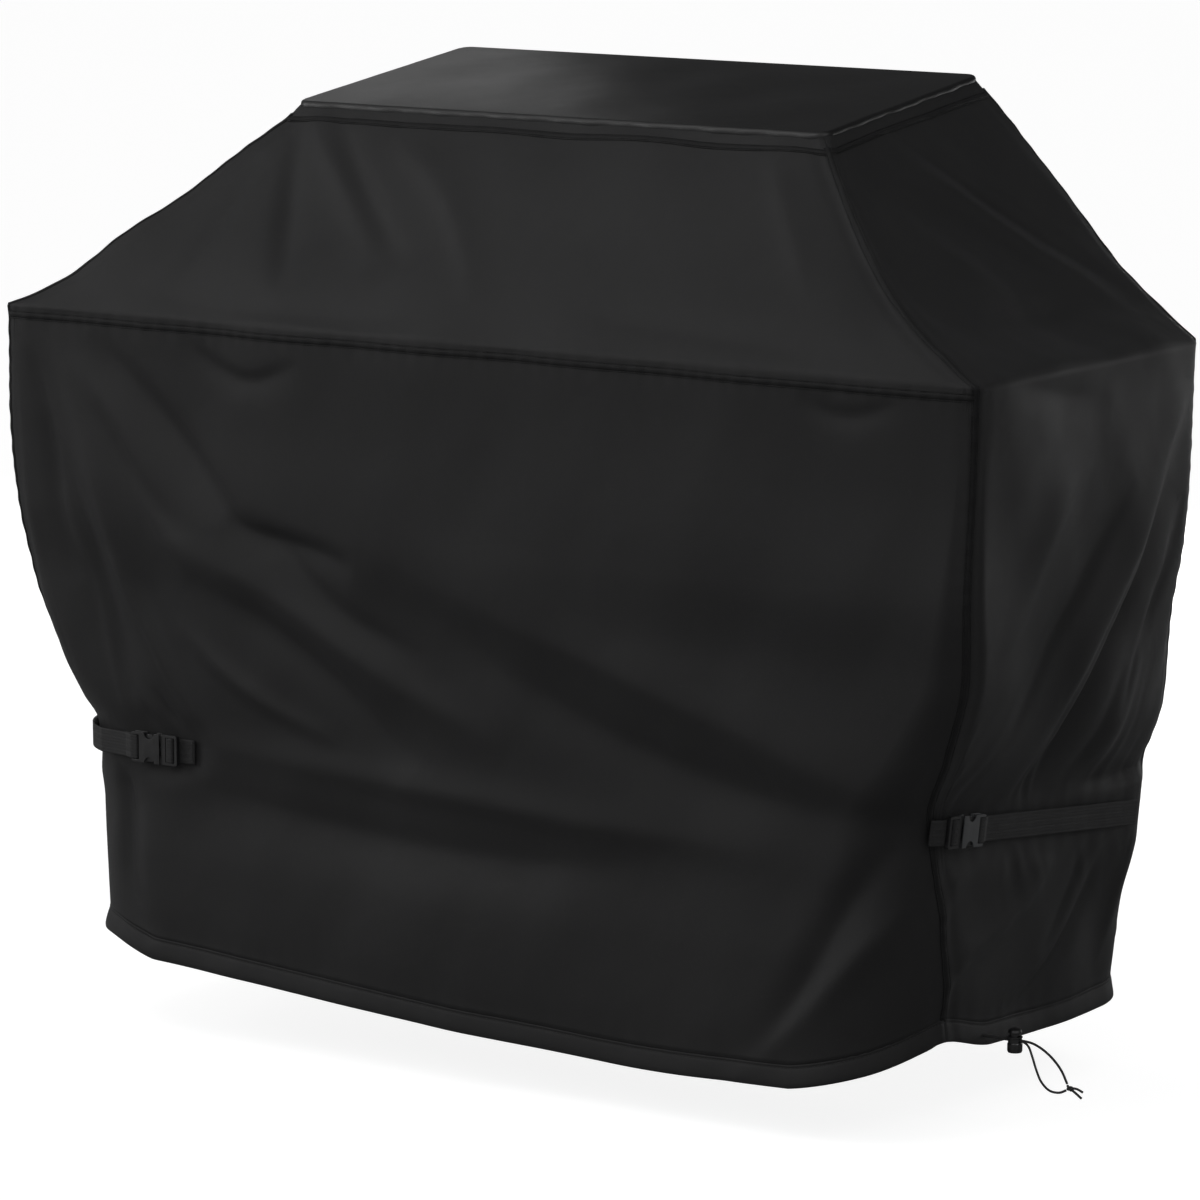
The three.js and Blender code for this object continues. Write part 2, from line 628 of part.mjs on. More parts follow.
function rightStrap() {
  const [start, end] = [[strapHeight + 3, 2.05], [352, 2.98]];
  const from = outerFace(...start);
  const run = outerFace(...end).sub(from);
  const frame = frameOn(from, run, outward(...start), buckleLift);
  const length = run.length();
  const level = -buckleLift + 5;
  const tabStations = spread(1.78, 1.91, 3).map((place) => [strapHeight + 5, place]);
  return {
    frame,
    up: 1,
    tabEnd: pathInFrame(frame, tabStations, 6.6),
    strapPath: [[length - 6, level], [length + 14, level]],
    anchorPath: [[length - 30, level - 2.3], [length + 6, level - 2.3]],
  };
}

function leftStrap() {
  const middle = [strapHeight - 1, 0.055];
  const run = outerFace(strapHeight - 1, 0.045).sub(outerFace(strapHeight - 1, 0.065));
  const frame = frameOn(outerFace(...middle), run, outward(...middle), buckleLift);
  const wrap = [...spread(-0.3, -1, 5), ...spread(-1.2, -1.9, 3)].map((place) => [strapHeight - 3, place]);
  return {
    frame,
    up: -1,
    tabEnd: [[-50, -buckleLift + 2.3]],
    strapPath: pathInFrame(frame, wrap, 8.6),
    anchorPath: pathInFrame(frame, spread(-1.86, -1.95, 2).map((place) => [strapHeight - 3, place]), 6.2),
  };
}

// ---- the whole cover ----
function shell() {
  const group = new THREE.Group();
  group.add(topPanel());
  group.add(named("front_upper_panel", panel(above, frontFrom, frontRight, [6, 2]), shellCloth()));
  group.add(named("front_lower_panel", panel(below, frontFrom, frontRight, frontSteps), shellCloth()));
  group.add(named("right_side_panel", panel(whole, frontRight, backRight, sideSteps), shellCloth()));
  group.add(named("back_upper_panel", panel(above, backRight, backLeft, [5, 2]), shellCloth()));
  group.add(named("back_lower_panel", panel(below, backRight, backLeft, backSteps), shellCloth()));
  group.add(named("left_side_panel", panel(whole, backLeft, frontLeft, sideSteps), shellCloth()));
  return group;
}

function seams() {
  const group = new THREE.Group();
  group.add(named("top_edge_binding", topBinding(), seamTape()));
  group.add(named("front_cross_seam", crossSeam(-0.1, 1.1, 6), seamTape()));
  group.add(named("back_cross_seam", crossSeam(3.9, 5.1, 5), seamTape()));
  const heights = [1190, ...heightsAbove.slice(2), 925, ...heightsBelow.slice(1), skirtTop + 2];
  Object.entries(seamPlaces).forEach(([corner, place]) => {
    group.add(named(`${corner}_corner_seam`, cornerSeam(place, heights), seamTape()));
  });
  return group;
}

function hems() {
  const group = new THREE.Group();
  const seam = (place) => place(skirtTop);
  const right = hemChannel(seam(frontRight), seam(backRight), sideSteps);
  const slot = boxAt(-20, 4, -half - 2.2, half + 2.2, -2.2, 2.2).translate(...cordExit.toArray());
  group.add(named("front_hem_channel", hemChannel(frontFrom(skirtTop), seam(frontRight), frontSteps), shellCloth()));
  group.add(named("right_hem_channel", cut(right, slot.translate(16, 0, 0)), shellCloth()));
  group.add(named("back_hem_channel", hemChannel(seam(backRight), seam(backLeft), backSteps), shellCloth()));
  group.add(named("left_hem_channel", hemChannel(seam(backLeft), seam(frontLeft), sideSteps), shellCloth()));
  return group;
}

const cover = new THREE.Group();
cover.add(shell(), seams(), hems(), cordSet(), strapSet("right", rightStrap()), strapSet("left", leftStrap()));
cover.position.set(0, -(topFrontY + topBackY) / 2, -(topHeight + topRise / 2));
cover.updateMatrixWorld(true);

export default cover;
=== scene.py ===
import math

import bmesh
import bpy
import numpy as np
from mathutils import Matrix, Vector


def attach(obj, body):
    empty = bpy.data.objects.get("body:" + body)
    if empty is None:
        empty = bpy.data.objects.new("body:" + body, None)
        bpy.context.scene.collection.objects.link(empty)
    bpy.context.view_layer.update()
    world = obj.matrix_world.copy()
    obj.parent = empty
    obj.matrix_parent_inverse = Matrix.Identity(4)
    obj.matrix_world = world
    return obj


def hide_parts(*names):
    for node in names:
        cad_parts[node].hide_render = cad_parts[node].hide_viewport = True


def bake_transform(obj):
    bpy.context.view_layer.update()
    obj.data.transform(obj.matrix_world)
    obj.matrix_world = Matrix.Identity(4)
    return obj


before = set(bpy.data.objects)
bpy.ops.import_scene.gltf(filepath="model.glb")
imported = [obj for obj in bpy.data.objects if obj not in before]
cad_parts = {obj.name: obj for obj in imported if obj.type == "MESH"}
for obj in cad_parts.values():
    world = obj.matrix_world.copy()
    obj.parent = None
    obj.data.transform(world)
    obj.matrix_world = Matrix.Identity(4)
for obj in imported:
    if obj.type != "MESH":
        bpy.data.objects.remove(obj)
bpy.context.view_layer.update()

# Fitted grill cover. Sizes in the code are millimetres above the ground the grill stands on;
# toRow() turns them into metres in the row frame.
groundShift = np.array([0.0, -86.5, -1244.25])


def toRow(points):
    return (np.asarray(points, float) + groundShift) / 1000


# ---- camera ----
cameraSettings = {
    "place": (4.19915, -6.51619, 0.61080),
    "azimuth": 33.1071,
    "down": 9.3727,
    "roll": 0.4047,
    "lens": 180.22,
}


def placeCamera(s):
    turn, down, roll = (math.radians(s[k]) for k in ("azimuth", "down", "roll"))
    ahead = Vector((-math.sin(turn) * math.cos(down), math.cos(turn) * math.cos(down), -math.sin(down)))
    right = Vector((math.cos(turn), math.sin(turn), 0))
    up = right.cross(ahead)
    x = right * math.cos(roll) + up * math.sin(roll)
    y = up * math.cos(roll) - right * math.sin(roll)
    data = bpy.data.cameras.new("camera")
    data.lens, data.sensor_width, data.clip_end = s["lens"], 36, 200
    camera = bpy.data.objects.new("camera", data)
    camera.matrix_world = Matrix((x, y, -ahead)).transposed().to_4x4()
    camera.location = s["place"]
    bpy.context.scene.collection.objects.link(camera)
    bpy.context.scene.camera = camera


placeCamera(cameraSettings)
print("camera placed")


# ---- meshes from grids of points ----
def newObject(name, mesh):
    o = bpy.data.objects.new(name, mesh)
    bpy.context.scene.collection.objects.link(o)
    return o


def meshFrom(name, points, faces, uv=None, metres=False):
    mesh = bpy.data.meshes.new(name)
    at = np.asarray(points, float).reshape(-1, 3)
    mesh.from_pydata((at if metres else toRow(at)).tolist(), [], faces if isinstance(faces, list) else faces.tolist())
    if uv is not None:
        layer = mesh.uv_layers.new(name="clothUv")
        corner = np.zeros(len(mesh.loops), np.int32)
        mesh.loops.foreach_get("vertex_index", corner)
        layer.data.foreach_set("uv", np.asarray(uv, float).reshape(-1, 2)[corner].ravel())
    mesh.polygons.foreach_set("use_smooth", [True] * len(mesh.polygons))
    mesh.update()
    return newObject(name, mesh)


def gridFaces(rows, cols, start=0, flip=False):
    r, c = np.meshgrid(np.arange(rows - 1), np.arange(cols - 1), indexing="ij")
    a = (start + r * cols + c).ravel()
    quads = np.stack([a + cols, a + cols + 1, a + 1, a], 1)
    return quads[:, ::-1] if flip else quads


def stripFaces(first, second):
    a, b = np.asarray(first), np.asarray(second)
    return np.stack([a[:-1], a[1:], b[1:], b[:-1]], 1)


def runLength(points, axis):
    step = np.linalg.norm(np.diff(points, axis=axis), axis=2)
    zero = np.zeros_like(np.take(step, [0], axis=axis))
    return np.concatenate([zero, np.cumsum(step, axis=axis)], axis=axis)


def slab(name, outer, inner):  # two skins of cloth closed round the rim
    rows, cols = outer.shape[:2]
    u, v = runLength(outer, 1), runLength(outer, 0)
    uv = np.stack([u - u[:, cols // 2 : cols // 2 + 1], -v], 2) / 1000
    n = rows * cols
    index = np.arange(n).reshape(rows, cols)
    rims = [
        stripFaces(index[0], index[0] + n),
        stripFaces(index[-1] + n, index[-1]),
        stripFaces(index[:, 0] + n, index[:, 0]),
        stripFaces(index[:, -1], index[:, -1] + n),
    ]
    faces = np.concatenate([gridFaces(rows, cols), gridFaces(rows, cols, n, True), *rims])
    return meshFrom(name, np.concatenate([outer.reshape(-1, 3), inner.reshape(-1, 3)]), faces, np.concatenate([uv, uv]))


def ringFaces(count, rows, closed=False):  # rings of points joined into a tube
    i, k = np.meshgrid(np.arange(rows if closed else rows - 1), np.arange(count), indexing="ij")
    nextRow, nextPoint = (i + 1) % rows, (k + 1) % count
    return np.stack([i * count + k, i * count + nextPoint, nextRow * count + nextPoint, nextRow * count + k], 2).reshape(-1, 4)


def tubeObject(name, rings, uv=None, metres=False, closed=False):
    rows, count = rings.shape[:2]
    faces = [list(f) for f in ringFaces(count, rows, closed)]
    if not closed:
        faces.append(list(range(count))[::-1])
        faces.append([(rows - 1) * count + k for k in range(count)])
    o = meshFrom(name, rings, faces, uv, metres)
    faceOut(o)
    return o


def faceOut(o):
    work = bmesh.new()
    work.from_mesh(o.data)
    if work.calc_volume(signed=True) < 0:
        bmesh.ops.reverse_faces(work, faces=work.faces)
    work.to_mesh(o.data)
    work.free()


def finishPiece(o, body, slotName, material, *nodes):
    o.data.materials.clear()
    o.data.materials.append(material)
    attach(o, body)
    if nodes:
        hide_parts(*nodes)
    return o


# ---- drawcord that comes out of the hem ----
cordSettings = {
    "exit": (634.174, -87.464, 113.413),
    "radius": 1.5,
    "apart": 3.7,
    "sides": 20,
    "pitch": 5.2,
    "relief": 0.13,
    "straight": [-4.4, 8, 20, 34, 46, 58],
    "upper": [(70, 3.5, -2), (82, 7.5, -9), (94, 11.5, -20), (104, 15, -34), (111, 17.5, -50)],
    "lower": [(67, -4, -4), (75, -8, -15), (82, -10, -30), (89, -9, -45), (98, -3.5, -56), (107, 5, -59), (113, 11.5, -56.5)],
    "knot": (114.5, 17.5, -55),
    "tails": [[(121, 23, -56), (126, 30, -61)], [(122, 18.5, -60), (129, 22, -67)]],
    "hidden": (2.23, 10.17),  # the places between which it runs unseen round the hem
    "inHem": (4.3, 4.3),
}


def splineThrough(points, step):  # centripetal curve through points, sampled evenly
    p = np.asarray(points, float)
    p = np.concatenate([[2 * p[0] - p[1]], p, [2 * p[-1] - p[-2]]])
    found = []
    for i in range(1, len(p) - 2):
        t = np.concatenate([[0], np.cumsum(np.sqrt(np.linalg.norm(np.diff(p[i - 1 : i + 3], axis=0), axis=1)))])
        at = np.linspace(t[1], t[2], 24, endpoint=False)[:, None]
        a = [(t[k + 1] - at) / (t[k + 1] - t[k]) * p[i - 1 + k] + (at - t[k]) / (t[k + 1] - t[k]) * p[i + k] for k in range(3)]
        b = [(t[k + 2] - at) / (t[k + 2] - t[k]) * a[k] + (at - t[k]) / (t[k + 2] - t[k]) * a[k + 1] for k in range(2)]
        found.append((t[2] - at) / (t[2] - t[1]) * b[0] + (at - t[1]) / (t[2] - t[1]) * b[1])
    line = np.concatenate([*found, [p[-2]]])
    along = runLength(line[None], 1)[0]
    even = np.linspace(0, along[-1], max(int(along[-1] / step), 2) + 1)
    return np.stack([np.interp(even, along, line[:, k]) for k in range(3)], 1)


def framesAlong(line):  # steady side and up directions along a line
    run = np.gradient(line, axis=0)
    run /= np.linalg.norm(run, axis=1)[:, None]
    side = np.cross(run[0], [0, 0, 1.0])
    if np.linalg.norm(side) < 0.1:
        side = np.cross(run[0], [0, 1.0, 0])
    sides = []
    for t in run:
        side = side - t * (side @ t)
        side = side / np.linalg.norm(side)
        sides.append(side)
    sides = np.array(sides)
    return sides, np.cross(sides, run)


def braidedCord(name, line, s):  # round cord with the relief of its crossing strands
    side, up = framesAlong(line)
    along = runLength(line[None], 1)[0][:, None]
    angle = np.linspace(0, 2 * math.pi, s["sides"], endpoint=False)[None]
    twist = 2 * math.pi * along / s["pitch"]
    relief = s["relief"] * np.sin(4 * angle + twist) * np.sin(4 * angle - twist)
    radius = (s["radius"] + relief)[:, :, None]
    rings = line[:, None] + radius * (np.cos(angle)[:, :, None] * side[:, None] + np.sin(angle)[:, :, None] * up[:, None])
    uv = np.stack(np.broadcast_arrays(angle * s["radius"], along), 2) / 1000
    return tubeObject(name, rings, uv)


def fromExit(offset):
    return np.array(cordSettings["exit"]) + np.asarray(offset, float)


def strandLine(side, droop):
    level = [(out, side * cordSettings["apart"] / 2, 0) for out in cordSettings["straight"]]
    return splineThrough([fromExit(p) for p in level + list(droop)], 0.55)


upperLine = strandLine(1, cordSettings["upper"])
lowerLine = strandLine(-1, cordSettings["lower"])
upperStrand = braidedCord("cordStrandUpper", upperLine, cordSettings)
lowerStrand = braidedCord("cordStrandLower", lowerLine, cordSettings)


def cordKnot(s):
    t = np.linspace(0, 2 * math.pi, 150)[:, None]
    loop = np.concatenate([np.sin(t) + 2 * np.sin(2 * t), np.cos(t) - 2 * np.cos(2 * t), -np.sin(3 * t) * 1.5], 1)
    size = (np.array(loop) / 3) * np.array([4.0, 3.6, 2.4])
    turn = Matrix.Rotation(math.radians(35), 3, "Y") @ Matrix.Rotation(math.radians(20), 3, "Z")
    wound = size @ np.array(turn).T + fromExit(s["knot"])
    parts = [braidedCord("knotLoop", wound, s)]
    for i, (bend, end) in enumerate(s["tails"]):
        tail = splineThrough([fromExit(p) for p in (s["knot"], bend, end)], 0.55)
        parts.append(braidedCord(f"knotTail{i}", tail, s))
    return joinObjects("cordKnot", parts)


def joinObjects(name, parts):
    work = bmesh.new()
    for o in parts:
        work.from_mesh(o.data)
    mesh = bpy.data.meshes.new(name)
    work.to_mesh(mesh)
    work.free()
    for o in parts:
        bpy.data.objects.remove(o)
    return newObject(name, mesh)


knotPiece = cordKnot(cordSettings)
print("cords made")


# ---- shape of the cover ----
coverSizes = {
    "topHeight": 1220,
    "shelfHeight": 952,
    "strapHeight": 385,
    "hemHeight": 115,
    "skirtTop": 141.5,
    "topHalfLength": 397,
    "topFront": -102,
    "topBack": 275,
    "topRise": 48.5,
    "topCorner": 14,
    "back": 308,
    "crossSeam": 938,
    "cloth": 1.2,
}
# height, half length and corner radius at the front and back, where the faces stand, seam place
skirtStations = np.array([
    (115, 627, -304, 148, 642, 306, 90, 0.95),
    (240, 632, -298, 128, 657, 300, 80, 0.92),
    (330, 630, -288, 110, 680, 289, 68, 0.87),
    (402, 632, -289, 96, 684, 286, 60, 0.83),
    (490, 677, -294, 74, 703, 297, 60, 0.72),
    (590, 718, -298, 55, 711, 305, 60, 0.6),
    (690, 731, -308, 45, 724, 308, 60, 0.53),
    (820, 735, -304, 32, 728, 308, 60, 0.5),
    (952, 736.5, -306, 24, 730, 308, 58, 0.5),
])
hemLine = np.array([
    (-0.95, 12), (-0.4, 12), (0, -10), (0.25, -28), (0.55, -44), (0.8, -52), (1, -45), (1.4, -25),
    (1.8, 0), (1.95, 6), (2.25, -16), (2.7, -22), (3.4, -18), (4, -10), (4.5, -14), (5, -8),
    (5.4, -10), (6, -14), (6.5, -12), (7.05, 12),
])
topSlope = coverSizes["topRise"] / (coverSizes["topBack"] - coverSizes["topFront"])


def throughStations(xs, ys, x):
    slope = np.diff(ys) / np.diff(xs)
    a, b = slope[:-1], slope[1:]
    inner = np.where(a * b > 0, 2 * a * b / np.where(a * b > 0, a + b, 1), 0)
    tangent = np.concatenate([slope[:1], inner, slope[-1:]])
    at = np.clip(x, xs[0], xs[-1])
    i = np.clip(np.searchsorted(xs, at, side="left") - 1, 0, len(xs) - 2)
    h = xs[i + 1] - xs[i]
    t = (at - xs[i]) / h
    return ((2 * t**3 - 3 * t**2 + 1) * ys[i] + (t**3 - 2 * t**2 + t) * h * tangent[i]
            + (3 * t**2 - 2 * t**3) * ys[i + 1] + (t**3 - t**2) * h * tangent[i + 1])


def hemDip(place):
    return throughStations(hemLine[:, 0], hemLine[:, 1], (place + 8.95) % 8 - 0.95)


def planAt(height):
    s = coverSizes
    names = ["front", "frontY", "frontR", "back", "backY", "backR", "seam"]
    low = {k: throughStations(skirtStations[:, 0], skirtStations[:, i + 1], height) for i, k in enumerate(names)}
    shelf = dict(zip(names, skirtStations[-1, 1:]))
    t = np.clip((s["topHeight"] - height) / (s["topHeight"] - s["shelfHeight"]), 0, 1)
    spread = 0.8 * t + 0.2 * t**4
    high = {
        "front": s["topHalfLength"] + (shelf["front"] - s["topHalfLength"]) * spread,
        "back": s["topHalfLength"] + (shelf["back"] - s["topHalfLength"]) * spread,
        "frontY": s["topFront"] + (shelf["frontY"] - s["topFront"]) * (1.12 * t - 0.12 * t * t),
        "backY": s["topBack"] + (s["back"] - s["topBack"]) * (1 - (1 - t) ** 3),
        "frontR": s["topCorner"] + (shelf["frontR"] - s["topCorner"]) * t,
        "backR": s["topCorner"] + (shelf["backR"] - s["topCorner"]) * t,
        "seam": 0.5 + 0 * t,
    }
    return {k: np.where(height < s["shelfHeight"], low[k], high[k]) for k in names}


def roundedCorner(corner, into, out, radius, part):
    turn = (np.arctan2(out[..., 1], out[..., 0]) - np.arctan2(into[..., 1], into[..., 0])) % (2 * math.pi)
    start = corner - into * (radius * np.tan(turn / 2))[..., None]
    inward = np.stack([-into[..., 1], into[..., 0]], -1)
    centre = start + inward * radius[..., None]
    c, k = np.cos(turn * part), np.sin(turn * part)
    arm = start - centre
    return centre + np.stack([c * arm[..., 0] - k * arm[..., 1], k * arm[..., 0] + c * arm[..., 1]], -1)


def planPoint(height, place):
    p = planAt(height)
    corners = [(-p["front"], p["frontY"]), (p["front"], p["frontY"]), (p["back"], p["backY"]), (-p["back"], p["backY"])]
    corners = [np.stack(c, -1) for c in corners]
    radii = [p["frontR"], p["frontR"], p["backR"], p["backR"]]
    runs = [corners[(i + 1) % 4] - corners[i] for i in range(4)]
    runs = [r / np.linalg.norm(r, axis=-1)[..., None] for r in runs]
    around = place % 8
    side = np.floor(around / 2).astype(int) % 4
    part = around - 2 * side
    found = np.zeros(height.shape + (2,))
    for i in range(4):
        n = (i + 1) % 4
        zero = 0 * part
        first = roundedCorner(corners[i], runs[i - 1], runs[i], radii[i], zero + 1)
        second = roundedCorner(corners[n], runs[i], runs[n], radii[n], zero)
        flat = first + (second - first) * part[..., None]
        bend = roundedCorner(corners[n], runs[i], runs[n], radii[n], np.maximum(part - 1, 0))
        here = np.where((part >= 1)[..., None], bend, flat)
        found = np.where((side == i)[..., None], here, found)
    return found


def outerFace(height, place):
    height, place = np.broadcast_arrays(np.asarray(height, float), np.asarray(place, float))
    s = coverSizes
    plan = planPoint(height, place)
    share = np.clip((height - s["shelfHeight"]) / (s["topHeight"] - s["shelfHeight"]), 0, 2)
    low = np.clip((s["strapHeight"] - height) / (s["strapHeight"] - s["skirtTop"]), 0, 1)
    z = height + share * (plan[..., 1] - s["topFront"]) * topSlope + low**2 * hemDip(place)
    return np.concatenate([plan, z[..., None]], -1)


def outward(height, place):
    height, place = np.broadcast_arrays(np.asarray(height, float), np.asarray(place, float))
    height = np.maximum(height, coverSizes["skirtTop"])
    along = outerFace(height, place + 0.01) - outerFace(height, place - 0.01)
    rise = outerFace(np.minimum(height + 4, coverSizes["topHeight"]), place) - outerFace(height - 4, place)
    n = np.cross(along, rise)
    return n / np.linalg.norm(n, axis=-1)[..., None]


def baseFace(height, place):  # the hem hangs straight down from the skirt
    height, place = np.broadcast_arrays(np.asarray(height, float), np.asarray(place, float))
    high = np.maximum(height, coverSizes["skirtTop"])
    at = outerFace(high, place)
    at[..., 2] -= high - height
    return at


# ---- folds of the hanging cloth ----
# Each fold is a line on a face (x or y, then z), how far it stands proud, and how wide it is to
# the left and to the right of the line's direction.
foldMap = {
    "front": [
        ([(-655, 930), (-601, 794), (-568, 705), (-520, 551), (-465, 430)], 11, 28, 22),
        ([(-590, 925), (-494, 842), (-438, 788), (-398, 746), (-358, 706), (-290, 655)], -12, 16, 26),
        ([(-372, 700), (-325, 686), (-279, 679), (-215, 668), (-165, 652)], -13, 11, 30),
        ([(-620, 895), (-543, 799), (-487, 706), (-420, 610)], 8, 20, 16),
        ([(-580, 840), (-511, 743), (-471, 701), (-430, 665)], -7, 12, 17),
        ([(-665, 810), (-602, 676), (-569, 573), (-522, 430)], -10, 16, 22),
        ([(-500, 672), (-318, 612), (-192, 548), (-99, 503), (60, 440)], 12, 26, 30),
        ([(-440, 620), (-311, 566), (-200, 500), (-80, 400)], -10, 18, 30),
        ([(-150, 676), (143, 588), (350, 522), (522, 466), (680, 430)], 17, 75, 36),
        ([(-40, 590), (204, 478), (408, 424), (640, 405)], -12, 30, 46),
        ([(-640, 720), (-585, 600), (-560, 500), (-530, 400)], 6, 12, 9),
        ([(-560, 640), (-500, 545), (-455, 470), (-415, 420)], 7, 14, 10),
        ([(-450, 560), (-380, 500), (-300, 455), (-200, 420)], 7, 16, 11),
        ([(-330, 720), (-250, 640), (-170, 585), (-60, 540)], -6, 14, 22),
        ([(-690, 900), (-660, 800), (-640, 690), (-610, 590)], -7, 10, 16),
        ([(-470, 404), (-208, 383), (-22, 372), (205, 360), (450, 357)], 8, 26, 20),
        ([(-460, 345), (-208, 309), (24, 298), (280, 310)], -9, 24, 40),
        ([(660, 430), (580, 340), (539, 273), (498, 193), (430, 90)], -12, 22, 22),
        ([(690, 405), (623, 309), (568, 240), (498, 156), (400, 60)], 8, 20, 15),
        ([(-440, 930), (-385, 894), (-335, 880), (-250, 908)], -6, 8, 20),
        ([(-562, 400), (-548, 310), (-535, 204), (-490, 120)], -14, 22, 13),
        ([(-516, 445), (-497, 415), (-470, 396)], -5, 8, 8),
        ([(-492, 466), (-461, 425), (-430, 400)], -5, 8, 9),
        ([(480, 924), (557, 904), (640, 930)], -4, 9, 16),
        ([(-383, 1216), (-286, 1132), (-177, 1041)], 10, 26, 16),
        ([(-232, 1186), (-130, 1128), (-60, 1063), (-10, 1000)], 9, 30, 14),
        ([(-335, 1210), (-240, 1120), (-130, 1030)], -9, 12, 26),
        ([(398, 1205), (484, 1113), (602, 1011)], -9, 16, 30),
        ([(-400, 1190), (-519, 1091), (-628, 994)], 8, 16, 26),
        ([(-390, 1205), (-352, 1100), (-300, 985)], -9, 20, 13),
        ([(-415, 1150), (-440, 1070), (-470, 990)], -6, 14, 18),
        ([(330, 1200), (390, 1120), (470, 1030)], 6, 22, 14),
        ([(120, 1000), (330, 985), (560, 968)], -4, 20, 14),
        ([(-560, 985), (-330, 968), (-60, 975)], -4, 20, 14),
    ],
    "right": [
        ([(245, 900), (165, 795), (85, 690), (8, 592), (-42, 500), (-91, 414)], 14, 18, 44),
        ([(200, 790), (115, 655), (38, 555), (-12, 460), (-60, 392)], -15, 30, 12),
        ([(-1, 856), (-98, 770), (-156, 676), (-216, 600)], 4, 18, 26),
        ([(90, 800), (-10, 690), (-90, 590), (-150, 480)], -7, 12, 26),
        ([(150, 740), (60, 610), (0, 520), (-30, 430)], 6, 12, 10),
        ([(250, 760), (210, 660), (160, 570), (130, 480)], -7, 16, 11),
        ([(-262, 966), (-150, 960), (60, 957), (286, 975)], 5, 16, 20),
        ([(-215, 990), (0, 1004), (180, 1002), (290, 988)], -11, 18, 20),
        ([(-235, 948), (-120, 925), (30, 900)], -5, 18, 26),
        ([(178, 650), (150, 520), (95, 423)], 5, 16, 18),
        ([(125, 560), (90, 480), (40, 410)], -5, 14, 14),
        ([(60, 405), (190, 400), (290, 418)], -11, 26, 11),
        ([(225, 470), (262, 560), (280, 690)], -5, 18, 22),
        ([(39, 329), (5, 290), (-70, 250), (-160, 215), (-200, 144)], 9, 16, 22),
        ([(157, 309), (133, 248), (70, 182), (-30, 124)], -9, 18, 12),
        ([(118, 335), (92, 262), (40, 190)], -5, 12, 16),
        ([(-114, 355), (-186, 305), (-225, 240)], 4, 16, 18),
        ([(240, 330), (225, 240), (190, 140)], 5, 18, 18),
        ([(-38, 1196), (56, 1132), (136, 1056), (210, 985)], 8, 20, 14),
        ([(4, 1217), (150, 1110), (250, 1000)], -8, 12, 20),
        ([(-131, 1163), (-158, 1103), (-216, 1018)], -5, 22, 16),
        ([(-80, 1150), (-60, 1080), (0, 1020)], 4, 24, 24),
    ],
    "back": [
        ([(640, 900), (545, 770), (500, 600), (515, 450)], -8, 18, 30),
        ([(600, 905), (480, 790), (420, 640), (400, 470)], 7, 34, 26),
        ([(360, 880), (150, 740), (-60, 660), (-250, 640)], -8, 20, 44),
        ([(250, 700), (20, 560), (-190, 520)], 8, 40, 30),
        ([(-250, 900), (-420, 780), (-560, 600), (-610, 430)], 8, 30, 24),
        ([(-380, 890), (-520, 720), (-600, 540)], -7, 16, 26),
        ([(500, 400), (200, 360), (-150, 370), (-480, 395)], 5, 24, 20),
        ([(420, 330), (90, 290), (-260, 310)], -6, 22, 34),
        ([(560, 340), (540, 240), (500, 120)], -7, 18, 22),
        ([(-590, 350), (-560, 250), (-530, 130)], -7, 18, 22),
        ([(60, 905), (110, 885), (180, 900)], -4, 8, 18),
        ([(390, 1235), (300, 1120), (240, 1010)], -6, 24, 30),
        ([(-390, 1235), (-480, 1130), (-600, 1010)], -6, 26, 26),
        ([(-200, 1180), (-60, 1120), (120, 1090)], 5, 30, 30),
    ],
    "left": [
        ([(240, 905), (150, 780), (70, 660), (-10, 560), (-80, 440)], 9, 44, 26),
        ([(185, 800), (90, 650), (0, 540), (-60, 430)], -10, 14, 32),
        ([(-60, 890), (-140, 780), (-190, 640)], 5, 26, 20),
        ([(-20, 860), (-90, 730), (-150, 600), (-175, 480)], -5, 20, 20),
        ([(-262, 966), (-100, 960), (120, 958), (286, 972)], 5, 20, 16),
        ([(-215, 992), (20, 1004), (200, 1000), (290, 988)], -9, 20, 18),
        ([(60, 410), (170, 404), (262, 420)], -8, 12, 24),
        ([(200, 640), (180, 520), (130, 425)], 5, 18, 16),
        ([(120, 330), (60, 260), (-40, 180), (-90, 120)], -7, 18, 22),
        ([(30, 330), (-60, 250), (-150, 160)], 6, 24, 20),
        ([(230, 330), (215, 230), (180, 130)], -5, 18, 18),
        ([(-38, 1196), (60, 1130), (150, 1050), (225, 985)], 6, 20, 26),
        ([(30, 1215), (190, 1140), (245, 1040)], -6, 26, 22),
    ],
}
clothSettings = {
    "seed": 11,
    "swell": [(12, 170, 440, 1.15), (12, 70, 150, 0.16)],  # how many waves, their lengths, their height
    "foldSides": 1.7,  # how square a fold's sides are, and how it fades at its ends
    "foldEnds": 0.9,
    "puckerReach": 17,
    "puckerLength": 27,
    "puckerHeight": 0.35,
    "puckerSink": 0.6,
    "puckerBends": ((1.3, 61), (0.9, 23)),
    "groove": (1.6, 17, 9),  # beside a corner seam: its depth, how far off, its width
    "crossHeight": 0.7,
    "crossSink": 0.5,
    "crossBends": ((1.7, 53), (0.7, 19)),
    "hemReach": 24,
    "hemRipple": 0.22,
    "hemLength": 34,
    "hemBends": ((2.5, 47),),
    "hemFlare": 3.5,
    "gatherHeight": 2.0,
    "gatherLength": 33,
    "gatherReach": (95, 60),  # above the strap and below it
    "strapReach": (15, 58),
    "underStrap": -1.4,
    "panelInset": 0.004,  # a panel and a hem channel stop this short of their seams
    "hemInset": 0.001,
}
waveSource = np.random.default_rng(clothSettings["seed"])
swellWaves = []
for count, shortest, longest, height in clothSettings["swell"]:
    for _ in range(count):
        direction = waveSource.normal(size=3) * (1, 1, 0.8)
        direction /= np.linalg.norm(direction)
        length = waveSource.uniform(shortest, longest)
        swellWaves.append((direction * 2 * math.pi / length, waveSource.uniform(0, 2 * math.pi), height))


